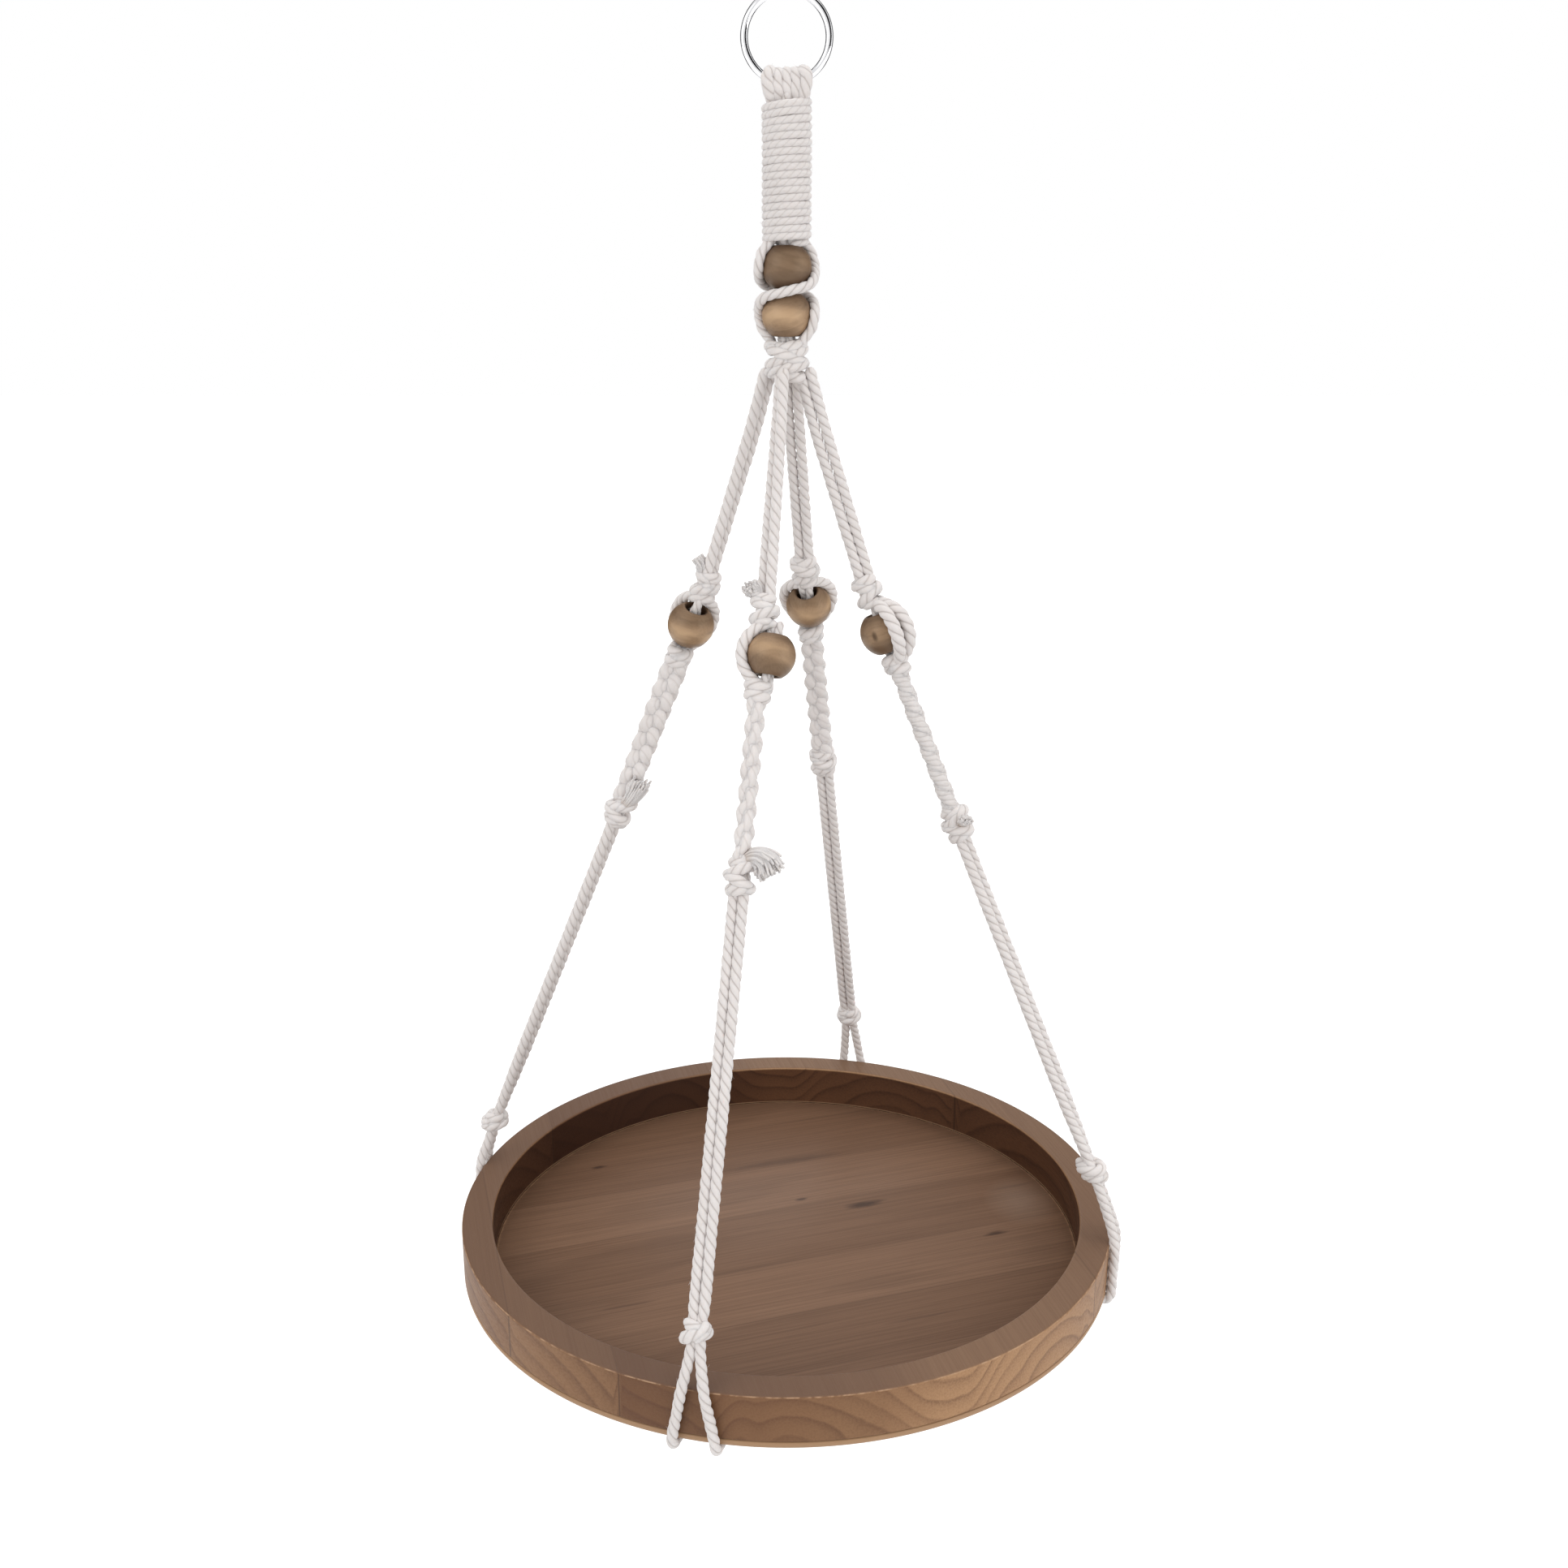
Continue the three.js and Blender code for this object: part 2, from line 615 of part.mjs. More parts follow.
// The route of one cord from a leg's tail knot down to the tray's lower edge, in the leg's
// plane: X outward, Y along the tangent.
function legRun(leg, sign) {
  const atWall = (offset) => Math.sqrt(slingReach ** 2 - offset ** 2);
  const knotTop = leg.lower + lowerKnot.length / 2;
  const knotFoot = leg.lower - lowerKnot.length / 2;
  const points = runShares.map((share) => {
    const height = leg.tail + share * (knotTop - leg.tail);
    return legPoint(height, sign * pairOffset);
  });
  points.push(legPoint(leg.lower, sign * pairOffset));
  points.push(legPoint(knotFoot, sign * pairOffset));
  const rimHalf = rimSpread / 2;
  const floorHalf = floorSpread / 2;
  const cornerHeight = -trayBottom + floorEdgeRadius;
  points.push(new THREE.Vector3(atWall(rimHalf), sign * rimHalf, 0));
  for (const share of wallShares) {
    const offset = rimHalf + share * (floorHalf - rimHalf);
    points.push(new THREE.Vector3(atWall(offset), sign * offset, share * cornerHeight));
  }
  const corner = atWall(floorHalf) - slingCorner;
  for (let i = 1; i <= cornerSteps; i += 1) {
    const angle = (Math.PI / 2) * (i / cornerSteps);
    points.push(new THREE.Vector3(
      corner + slingCorner * Math.cos(angle),
      sign * floorHalf,
      cornerHeight - slingCorner * Math.sin(angle),
    ));
  }
  return points;
}

// One whole cord of the sling, from one leg's tail knot under the tray to the opposite one.
function slingRoute(leg, opposite, sign, layer) {
  const start = legRun(leg, sign);
  const end = legRun(opposite, -sign).map((p) => new THREE.Vector3(-p.x, -p.y, p.z)).reverse();
  const floorHalf = sign * (floorSpread / 2);
  const deep = -slingFloor - layer * slingLayer;
  const edge = start[start.length - 1].x;
  const ramp = slingDip + slingRamp;
  const half = [[(edge + ramp) / 2, -slingFloor], [ramp + slingCorner * 2, -slingFloor]];
  for (const [out, down] of rampShares) {
    half.push([slingDip + out * slingRamp, -slingFloor + down * (deep + slingFloor)]);
  }
  const mirrored = half.map(([x, z]) => [-x, z]).reverse();
  const middle = [...half, [0, deep], ...mirrored].map(([x, z]) => new THREE.Vector3(x, floorHalf, z));
  return [...start, ...middle, ...end];
}

function sling(leg, opposite, layer) {
  const group = new THREE.Group();
  group.rotation.z = radians(leg.azimuthAngle);
  const cutters = [leg, opposite].map((end, i) => {
    const along = legFrame((end.upper + end.tail) / 2, (end.upper - end.tail) / 2);
    const frame = along.setPosition(legPoint(end.tail, 0));
    return tailKnotGeometry(end, clearance).applyMatrix4(frame).rotateZ(i * Math.PI);
  });
  for (const [letter, sign] of [['a', 1], ['b', -1]]) {
    const points = slingRoute(leg, opposite, sign, layer);
    const cord = tube(new Route(points), cordRadius, cordSides, points.length - 1);
    const name = `${leg.name}_${opposite.name}_sling_cord_${letter}`;
    addMesh(group, name, trim(cord, cutters), materials.cord);
  }
  return group;
}

// Assembly

const hangingRopeShelf = new THREE.Group();
const shelf = new THREE.Group();
shelf.position.z = -hangHeight;
hangingRopeShelf.add(shelf);

addMesh(shelf, 'tray_rim', trayRim(), materials.rim);
addMesh(shelf, 'tray_floor', trayFloor(), materials.floor);
addMesh(shelf, 'hanging_ring', hangingRing(), materials.steel);
shelf.add(neck());
[front, right, rear, left].forEach((leg) => shelf.add(legGroup(leg)));
shelf.add(sling(front, rear, 0));
shelf.add(sling(left, right, 1));

console.log(`least gap between the turns of the wrap: ${wrapLeastGap().toFixed(3)} mm`);

export default hangingRopeShelf;
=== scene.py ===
"""Hanging rope shelf: the detailed cords, knots, braids, beads, ring and tray, made over the
fixed frame.

Shapes are worked out in millimetres, with heights above the top of the tray's rim, +X to the
right and the front leg towards -Y. They go into the meshes in metres, lowered to their place.
"""
import math
from functools import partial, reduce
from types import SimpleNamespace
import bpy
import numpy as np
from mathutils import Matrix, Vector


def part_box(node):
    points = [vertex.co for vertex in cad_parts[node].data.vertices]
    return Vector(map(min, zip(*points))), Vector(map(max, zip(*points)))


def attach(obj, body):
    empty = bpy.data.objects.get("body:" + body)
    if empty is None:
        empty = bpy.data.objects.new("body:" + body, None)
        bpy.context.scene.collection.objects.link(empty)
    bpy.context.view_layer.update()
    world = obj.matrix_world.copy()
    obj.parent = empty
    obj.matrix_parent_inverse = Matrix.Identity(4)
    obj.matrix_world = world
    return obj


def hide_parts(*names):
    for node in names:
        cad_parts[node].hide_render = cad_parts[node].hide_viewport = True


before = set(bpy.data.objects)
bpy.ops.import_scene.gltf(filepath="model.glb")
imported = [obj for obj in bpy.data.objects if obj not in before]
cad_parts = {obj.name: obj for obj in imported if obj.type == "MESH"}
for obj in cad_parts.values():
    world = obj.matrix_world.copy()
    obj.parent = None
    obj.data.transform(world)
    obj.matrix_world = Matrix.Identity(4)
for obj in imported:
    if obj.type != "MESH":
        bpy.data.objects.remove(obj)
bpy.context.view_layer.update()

# Sizes, in millimetres

METRES = 0.001
RIM_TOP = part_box("tray_rim")[1].z          # in metres, in the frame

CORD_RADIUS = 2.3                          # with its soft outer fibres
PLY_SET = 0.29                             # how far a ply is set off, as a share of the radius
CORD_LAY = 13.0                            # length of one whole twist of the three plies
CORD_STEP = 0.8                            # between the rings of points along a cord
CORD_SIDES = 24
SPAN_POINTS = 24                           # worked out on each span of a smooth path
PAIR_OFFSET = 2.05                         # from a pair's middle line to each of its cords

TRAY_RADIUS = 150.0
TRAY_SIDES = 384
RIM_WIDTH = 14.0
RIM_HEIGHT = 20.5
RIM_ROUND = 0.9
FLOOR_SEAT = 20.8
FLOOR_BOTTOM = 24.0
FLOOR_ROUND = 2.0

WRAP_TOP = 481.88
WRAP_BOTTOM = 428.0
WRAP_TURNS = 18.6
WRAP_RADIUS = 8.3                          # to the middle of the winding cord
WINDING_FOOT = 425.6                       # the lowest turn, drawn over the bead's shoulder
WINDING_CORD = 1.7
WINDING_LAY = 9.0
RING_CENTRE = 503.0
RING_RADIUS = 16.5
RING_WIRE = 1.5
SWING = math.radians(25)

GATHER_HEIGHT = 381.5
GATHER_FOOT = 373.5
BEAD_RADIUS = 10.0
BEAD_HALF = 8.5
BEAD_BORE = 4.5
LOWER_NECK_BEAD = 399.5
UPPER_NECK_BEAD = 418.0
KNOT_TO_BEAD = 17.6
BEAD_TO_COLLAR = 12.4
LOWER_KNOT_HALF = 7.0

SLING_REACH = 152.3
SLING_CORNER = 4.3
SLING_FLOOR = 26.3
SLING_LAYER = 4.3
SLING_DIP = 14.0
SLING_RAMP = 26.0
RIM_HALF = 4.7                             # half the spread of a pair at the rim
FLOOR_HALF = 8.75                          # and under the tray

# A leg's distance from the shelf's axis at heights from the rim up to the gathering knot
LEG_HEIGHTS = (0.0, 21.0, 185.0, 285.0, 373.5)
LEG_DISTANCES = (152.3, 145.6, 77.11, 36.4, 8.0)
LEG_LEAN = math.radians(22)                # from upright, about the same all the way up

# Heights of the three knots, then the bead's shift and lean, the bearings of the strands
# beside it, the side that the braid's breadth faces, and how far the pairs of cords are
# turned about the leg. Angles in degrees, bearings counted from the outward side of the leg.
LEGS = {
    "front": dict(
        azimuth=256.2, upper=285.0, tail=186.0, lower=22.0, shift=4.2, lean_out=0.0,
        lean_side=4.0, strands=(-62.0, -118.0), broad="out", upper_turn=(58.0, 20.0),
        sling_turn=0.0,
    ),
    "right": dict(
        azimuth=346.2, upper=288.0, tail=190.0, lower=33.0, shift=0.0, lean_out=0.0,
        lean_side=0.0, strands=(-55.0, -24.0), broad="side", upper_turn=(82.0, 60.0),
        sling_turn=24.0,
    ),
    "rear": dict(
        azimuth=76.2, upper=290.0, tail=193.0, lower=31.0, shift=0.0, lean_out=-12.0,
        lean_side=0.0, strands=(72.0, -48.0), broad="side", upper_turn=(0.0, 0.0),
        sling_turn=0.0,
    ),
    "left": dict(
        azimuth=166.2, upper=287.0, tail=185.0, lower=21.0, shift=0.0, lean_out=0.0,
        lean_side=12.0, strands=(-122.0, -36.0), broad="out", upper_turn=(24.0, 20.0),
        sling_turn=20.0,
    ),
}
PAIR = (("a", 1), ("b", -1))               # the two cords of a pair, and their sides


# Camera, at the height and distance that the picture was taken from

CAMERA_PLACE = (0.0, -0.71443, -0.10304)   # in metres
CAMERA_TILT = 16.581                       # degrees below level
CAMERA_TURN = 0.0015                       # in radians, to the left


def new_object(name, data):
    """An object for a mesh, lamp or camera, in the scene."""
    thing = bpy.data.objects.new(name, data)
    bpy.context.scene.collection.objects.link(thing)
    return thing


def make_camera():
    """The camera, level across the picture and tipped down to the tray."""
    data = bpy.data.cameras.new("picture_camera")
    data.lens = 39.25
    data.sensor_width = 36.0
    data.clip_start = 0.02
    camera = new_object("picture_camera", data)
    camera.location = CAMERA_PLACE
    camera.rotation_euler = (math.radians(90.0 - CAMERA_TILT), 0.0, CAMERA_TURN)
    bpy.context.scene.camera = camera


make_camera()


# Points, paths and frames

UPRIGHT = np.eye(3)


def unit(vectors):
    """Each vector divided by its length."""
    lengths = np.linalg.norm(vectors, axis=-1, keepdims=True)
    return vectors / np.maximum(lengths, 1e-9)


def round_angles(count):
    """Even steps round a whole turn."""
    return 2 * np.pi * np.arange(count) / count


def points_of(x, y, z):
    """Points from three coordinates, each spread over the grid of the others."""
    return np.stack(np.broadcast_arrays(x, y, z), -1)


def lengths_along(path):
    """Distance walked along a path up to each of its points."""
    steps = np.linalg.norm(np.diff(path, axis=0), axis=1)
    return np.concatenate([[0.0], np.cumsum(steps)])


def even(path, step=CORD_STEP):
    """The same path with its points an even distance apart."""
    walked = lengths_along(path)
    count = max(3, int(round(walked[-1] / step)) + 1)
    marks = np.linspace(0.0, walked[-1], count)
    return np.column_stack([np.interp(marks, walked, path[:, k]) for k in range(3)])


def smooth(points, step=CORD_STEP):
    """A smooth path through points: on each span a cubic whose slopes at both ends come from
    the neighbouring points, weighted by the square root of the distance between them."""
    p = np.asarray(points, float)
    ghost = np.vstack([2 * p[0] - p[1], p, 2 * p[-1] - p[-2]])
    p0, p1, p2, p3 = ghost[:-3], ghost[1:-2], ghost[2:-1], ghost[3:]
    d0, d1, d2 = (
        np.sqrt(np.maximum(np.linalg.norm(b - a, axis=1), 1e-6))[:, None]
        for a, b in ((p0, p1), (p1, p2), (p2, p3))
    )
    leave = ((p1 - p0) / d0 - (p2 - p0) / (d0 + d1) + (p2 - p1) / d1) * d1
    reach = ((p2 - p1) / d1 - (p3 - p1) / (d1 + d2) + (p3 - p2) / d2) * d1
    t = np.linspace(0.0, 1.0, SPAN_POINTS, endpoint=False)[None, :, None]
    dense = (
        p1[:, None] * (2 * t ** 3 - 3 * t ** 2 + 1) + leave[:, None] * (t ** 3 - 2 * t ** 2 + t)
        + p2[:, None] * (3 * t ** 2 - 2 * t ** 3) + reach[:, None] * (t ** 3 - t ** 2)
    )
    return even(np.vstack([dense.reshape(-1, 3), p[-1:]]), step)


def frames_along(path, facing=None):
    """Tangent, normal and side at each point. The normal is the facing direction, or the one
    that the path turns towards least, made square to the tangent."""
    tangent = unit(np.gradient(path, axis=0))
    if facing is None:
        facing = np.linalg.eigh(tangent.T @ tangent)[1][:, 0]
    facing = np.asarray(facing, float)
    normal = unit(facing - (tangent @ facing)[:, None] * tangent)
    return tangent, normal, np.cross(tangent, normal)


def turned(points, degrees):
    """Points turned about the shelf's axis."""
    angle = math.radians(degrees)
    c, s = math.cos(angle), math.sin(angle)
    return points @ np.array([[c, s, 0.0], [-s, c, 0.0], [0.0, 0.0, 1.0]])


# Shells: parts of a piece, each with its points, faces, marks, and a skin of the places,
# outward directions and directions along the cord from which loose fibres can start

NO_SKIN = np.zeros((0, 9))


def grid_faces(rows, columns, closed=False):
    """Four-sided faces of a grid that is closed round its columns, and along its rows too
    where closed. Rows run along the path and columns round it, so the faces look outwards."""
    last = rows if closed else rows - 1
    i = np.arange(last)[:, None]
    j = np.arange(columns)[None, :]
    following = (j + 1) % columns
    above = (i + 1) % rows
    corners = (
        i * columns + j, i * columns + following, above * columns + following,
        above * columns + j,
    )
    return np.stack([np.broadcast_to(c, (last, columns)) for c in corners], -1).reshape(-1, 4)


def capped(grid, marks, skin=NO_SKIN):
    """A shell from a grid, with one point that closes each of its ends."""
    rows, columns = grid.shape[:2]
    count = rows * columns
    j = np.arange(columns)
    following = (j + 1) % columns
    foot = np.stack([np.full(columns, count), following, j], -1)
    base = (rows - 1) * columns
    head = np.stack([np.full(columns, count + 1), base + j, base + following], -1)
    points = np.vstack([grid.reshape(-1, 3), grid[0].mean(0), grid[-1].mean(0)])
    kept = {
        name: np.concatenate([
            value.reshape((count,) + value.shape[2:]), value[:1].mean(1), value[-1:].mean(1),
        ])
        for name, value in marks.items()
    }
    return dict(
        points=points, quads=grid_faces(rows, columns), tris=np.vstack([foot, head]),
        marks=kept, skin=skin,
    )


def loop_shell(grid, marks):
    """A shell from a grid that is closed both ways, as a ring is."""
    rows, columns = grid.shape[:2]
    kept = {n: v.reshape((rows * columns,) + v.shape[2:]) for n, v in marks.items()}
    return dict(
        points=grid.reshape(-1, 3), quads=grid_faces(rows, columns, closed=True),
        tris=np.zeros((0, 3), int), marks=kept, skin=NO_SKIN,
    )


def join(shells):
    """Several shells as one."""
    offsets = np.cumsum([0] + [len(s["points"]) for s in shells[:-1]])
    joined = {key: np.vstack([s[key] for s in shells]) for key in ("points", "skin")}
    for key in ("quads", "tris"):
        joined[key] = np.vstack([s[key] + o for s, o in zip(shells, offsets)])
    names = shells[0]["marks"]
    joined["marks"] = {n: np.concatenate([s["marks"][n] for s in shells]) for n in names}
    return joined


def moved(shell, matrix, origin):
    """A shell turned by a matrix and set at a place, with its skin's places and directions."""
    place, outward, along = (shell["skin"][:, k:k + 3] @ matrix.T for k in (0, 3, 6))
    skin = np.hstack([place + origin, outward, along])
    return dict(shell, points=shell["points"] @ matrix.T + origin, skin=skin)


skins = []                                 # of all the pieces made so far


def make_piece(name, shell, material, body, nodes=()):
    """The shell as a piece in metres, with its marks as attributes."""
    skins.append(shell["skin"])
    mesh = bpy.data.meshes.new(name)
    points = shell["points"] * METRES + (0.0, 0.0, RIM_TOP)
    mesh.from_pydata(points, [], shell["quads"].tolist() + shell["tris"].tolist())
    for mark, value in shell["marks"].items():
        kind, field = ("FLOAT_VECTOR", "vector") if value.ndim == 2 else ("FLOAT", "value")
        layer = mesh.attributes.new(mark, kind, "POINT")
        layer.data.foreach_set(field, np.ascontiguousarray(value, np.float32).ravel())
    mesh.polygons.foreach_set("use_smooth", np.ones(len(mesh.polygons), bool))
    mesh.materials.append(bpy.data.materials[material])
    mesh.update()
    piece = new_object(name, mesh)
    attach(piece, body)
    if nodes:
        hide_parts(*nodes)


def make_knotted(name, shell):
    """A piece of cord that stands for the node of the same name."""
    make_piece(f"{name}_twisted", shell, "cotton_undyed", "hanger", [name])


# Cord

CORD_ENDS = ((0.45, 0.85), (0.85, 0.4))    # how a cut end is rounded: onward and inward, in
                                           # shares of the radius


def ply_outline(sides, ply):
    """Outline of three soft plies pressed together: on each third of the turn, the far side of
    a circle that is set off from the cord's middle. Gives radius, and depth in the groove,
    which sets how much painted shade the groove gets."""
    angle = round_angles(sides)
    third = 2 * np.pi / 3
    off = (angle % third) - third / 2
    radius = ply * np.cos(off) + np.sqrt((1 - ply) ** 2 - (ply * np.sin(off)) ** 2)
    return angle, radius, (1 - radius) / (1 - radius.min()) * min(1.0, 0.4 + 0.6 * ply / PLY_SET)


def cord(path, radius=CORD_RADIUS, lay=CORD_LAY, start=0.0, press=(1.0, 1.0), size=1.0,
         sides=CORD_SIDES, facing=None, ply=PLY_SET):
    """A twisted cord along a path: the outline of three plies at each point, turned on by a
    whole turn for each length of lay, with a rounded end at both ends. Its thickness swells and
    shrinks a little by two sines of the distance along it. Press flattens it along its normal
    and its side, and size is a factor on its thickness at each point."""
    path = np.asarray(path, float)
    tangent, normal, side = frames_along(path, facing)
    walked = lengths_along(path)
    scale = 1 + 0.02 * np.sin(walked / 2.7 + 5 * start) + 0.015 * np.sin(walked / 0.93 + 3 * start)
    scale = scale * size
    first = [path[0] - tangent[0] * radius * scale[0] * out for out, _ in reversed(CORD_ENDS)]
    last = [path[-1] + tangent[-1] * radius * scale[-1] * out for out, _ in CORD_ENDS]
    centre = np.vstack([first, path, last])
    pad = len(CORD_ENDS)
    tangent, normal, side = (
        np.pad(v, ((pad, pad), (0, 0)), "edge") for v in (tangent, normal, side)
    )
    walked = np.pad(walked, pad, "edge")
    inward = np.array([share for _, share in CORD_ENDS])
    scale = np.concatenate([scale[0] * inward[::-1], scale, scale[-1] * inward])
    angle, outline, depth = ply_outline(sides, ply)
    at = angle[None, :] + start - 2 * np.pi * walked[:, None] / lay
    reach = radius * scale[:, None] * outline[None, :]
    across, up = reach * np.cos(at) * press[0], reach * np.sin(at) * press[1]
    grid = centre[:, None] + across[..., None] * normal[:, None] + up[..., None] * side[:, None]
    marks = {
        "thread": points_of(np.cos(at) * outline, np.sin(at) * outline, walked[:, None] / 4),
        "groove": np.broadcast_to(depth[None, :], at.shape),
        "stain": np.zeros(at.shape),
    }
    inner, thin = slice(3, -3), slice(None, None, 4)
    skin = np.hstack([
        grid[inner, thin].reshape(-1, 3), unit(grid - centre[:, None])[inner, thin].reshape(-1, 3),
        np.repeat(tangent[inner], len(angle[thin]), 0),
    ])
    return capped(grid, marks, skin)


# Materials: helpers. A node goes into the tree that its first input comes from.

def set_inputs(node, inputs):
    """Links and plain values into a node, by the name or the number of its inputs."""
    for socket, value in dict(inputs).items():
        if isinstance(value, bpy.types.NodeSocket):
            node.id_data.links.new(value, node.inputs[socket])
        else:
            node.inputs[socket].default_value = value


def put(tree, kind, inputs=(), **settings):
    """A shader node with its settings and its inputs."""
    node = tree.nodes.new("ShaderNode" + kind)
    for name, value in settings.items():
        setattr(node, name, value)
    set_inputs(node, inputs)
    return node


def value_of(operation, *values):
    """The result of a Math node."""
    node = put(values[0].id_data, "Math", enumerate(values), operation=operation)
    return node.outputs[0]


times, times_plus, minus, larger = (
    partial(value_of, operation)
    for operation in ("MULTIPLY", "MULTIPLY_ADD", "SUBTRACT", "MAXIMUM")
)


def vector_of(operation, *values, **named):
    """The result of a Vector Math node."""
    inputs = {**dict(enumerate(values)), **named}
    node = put(values[0].id_data, "VectorMath", inputs, operation=operation)
    return node.outputs["Value" if operation == "LENGTH" else 0]


def length_of(place, factors):
    """The length of a vector after its parts are drawn out by their factors."""
    return vector_of("LENGTH", vector_of("MULTIPLY", place, factors))


def noise(place, stretch, detail=2.0, roughness=0.5):
    """Noise at a place whose parts are first drawn out, all alike or each by its factor."""
    if isinstance(stretch, tuple):
        drawn = vector_of("MULTIPLY", place, stretch)
    else:
        drawn = vector_of("SCALE", place, Scale=stretch)
    inputs = {"Vector": drawn, "Scale": 1.0, "Detail": detail, "Roughness": roughness}
    return put(place.id_data, "TexNoise", inputs).outputs["Fac"]


def spread(value, low, high, to_low=0.0, to_high=1.0):
    """A value's range drawn out to another, and held at its ends."""
    inputs = {"Value": value, 1: low, 2: high, 3: to_low, 4: to_high}
    return put(value.id_data, "MapRange", inputs, clamp=True).outputs[0]


def rgb(red, green, blue):
    """A colour given by its screen values from 0 to 255, as the shader takes it."""
    shares = [v / 255 for v in (red, green, blue)]
    linear = [s / 12.92 if s <= 0.04045 else ((s + 0.055) / 1.055) ** 2.4 for s in shares]
    return (*linear, 1.0)


def blend(share, first, second, blend_type="MIX"):
    """Two colours mixed by a share."""
    inputs = {0: share, 6: first, 7: second}
    node = put(share.id_data, "Mix", inputs, data_type="RGBA", blend_type=blend_type)
    return node.outputs[2]


def layered(base, *layers):
    """A colour with other colours laid over it in turn, each by its own share."""
    for share, colour in layers:
        base = blend(share, base, rgb(*colour))
    return base


def steps(value, stops, interpolation):
    """A colour ramp with stops of (place, colour)."""
    node = put(value.id_data, "ValToRGB", {0: value})
    ramp = node.color_ramp
    ramp.interpolation = interpolation
    while len(ramp.elements) > 1:
        ramp.elements.remove(ramp.elements[-1])
    ramp.elements[0].position = stops[0][0]
    ramp.elements[0].color = (*stops[0][1], 1.0)
    for place, colour in stops[1:]:
        ramp.elements.new(place).color = (*colour, 1.0)
    return node.outputs[0]


def new_group(name, inputs, outputs):
    """A shader node group with named inputs of given kinds and outputs that are values."""
    group = bpy.data.node_groups.new(name, "ShaderNodeTree")
    for label, kind in inputs.items():
        group.interface.new_socket(label, in_out="INPUT", socket_type="NodeSocket" + kind)
    for label in outputs:
        group.interface.new_socket(label, in_out="OUTPUT", socket_type="NodeSocketFloat")
    return group, group.nodes.new("NodeGroupInput").outputs, group.nodes.new("NodeGroupOutput")


def use_group(tree, group, inputs):
    """The outputs of a node group placed in a tree with its own values."""
    return put(tree, "Group", inputs, node_tree=group).outputs


def new_material(name):
    """A new material's node tree and its shader."""
    material = bpy.data.materials.new(name)
    material.use_nodes = True
    return material.node_tree, material.node_tree.nodes["Principled BSDF"]


def object_place(tree):
    """Object coordinates, in metres."""
    return put(tree, "TexCoord").outputs["Object"]


def mark(tree, name, output="Fac"):
    """A mark of the piece, read from its attribute."""
    return put(tree, "Attribute", attribute_name=name).outputs[output]


def finish(shader, colour, rough, height, strength, distance, plain):
    """Colour, roughness, a bump of a height and the plain values into the shader."""
    bump = put(shader.id_data, "Bump", {
        "Height": height, "Strength": strength, "Distance": distance * METRES,
    })
    set_inputs(shader, {
        "Base Color": colour, "Roughness": rough, "Normal": bump.outputs[0], **plain,
    })


# Wood grain, as rings about the heart of the tree that a board was cut from

def growth_rings():
    """Rings about a board's heart: the distance from it, bent by slow noise, gives a slow
    darkening, a dark line and a quick fall in each ring. The line is stronger in some rings
    than in others. Fibres are noise drawn out along the board."""
    group, given, out = new_group(
        "growth_rings", dict(Place="Vector", Heart="Vector", Spacing="Float", Bend="Float"),
        ("Ring", "Fibre", "Cloud"))
    place = given["Place"]
    slow = noise(place, (5.0, 13.0, 13.0), 1.5)
    fine = noise(place, (40.0, 150.0, 150.0), 1.0)
    fibre = noise(place, (15.0, 1200.0, 1200.0), 3.0, 0.6)
    distance = length_of(vector_of("SUBTRACT", place, given["Heart"]), (0.06, 1.0, 1.0))
    bent = times_plus(minus(slow, 0.5), given["Bend"], distance)
    count = value_of("DIVIDE", times_plus(fine, 0.0012, bent), given["Spacing"])
    turn = value_of("FRACT", count)
    chance = put(group, "TexWhiteNoise", {"W": value_of("FLOOR", count)}, noise_dimensions="1D")
    strong = times_plus(chance.outputs["Value"], 0.55, 0.2)
    rise = times(value_of("POWER", turn, 1.6), 0.4)
    line = times_plus(value_of("POWER", turn, 6.0), strong, rise)
    fall = times(spread(turn, 0.86, 1.0, 1.0, 0.0), spread(fibre, 0.3, 0.6, 0.7, 1.1))
    set_inputs(out, {"Ring": times(line, fall), "Fibre": fibre, "Cloud": slow})
    return group


def resin_mark():
    """A small dark knot with a streak behind it: noise-edged distance from a centre, with the
    board's length drawn in so that the mark is long and thin."""
    group, given, out = new_group(
        "resin_mark", dict(Place="Vector", Centre="Vector", Reach="Vector"), ("Mask",))
    rough = noise(given["Place"], (120.0, 700.0, 0.0))
    away = vector_of("SUBTRACT", given["Place"], given["Centre"])
    distance = length_of(vector_of("DIVIDE", away, given["Reach"]), (1.0, 1.0, 0.0))
    edge = times_plus(rough, 0.9, minus(distance, 0.45))
    set_inputs(out, {"Mask": spread(edge, 0.35, 1.0, 1.0, 0.0)})
    return group


GROWTH_RINGS = growth_rings()
RESIN_MARK = resin_mark()

TABLE_HALF = 200                           # how far the tables reach to both sides
HEART_HALF = 100                           # how far up and down a heart may lie

RIM_GRAIN = 284.6                          # the way the rim's boards run, in degrees
RIM_BOARDS = (                             # place across, heart across, heart height
    (-200, -158, -34), (-137, -158, -34), (-135, -150, -46), (-99, -150, -46), (-97, -112, -36),
    (-70, -96, -40), (-46, -34, -30), (-16, -36, -34), (24, 20, -62), (36, 30, -62),
    (66, 84, -30), (100, 84, -30), (111, 120, -40), (113, 176, -52),
)
RIM_TONES = (                              # place across, tone
    (-200, 0.22), (-137, 0.20), (-135, 0.28), (-99, 0.20), (-97, 0.02), (-57, 0.10), (-25, 0.18),
    (0, 0.28), (24, 0.74), (55, 0.80), (98, 0.64), (111, 0.6), (113, 0.5),
)
RIM_JOINTS = (-136, -98, 112)              # the glued joints that show as dark lines
FLOOR_GRAIN = 18.6
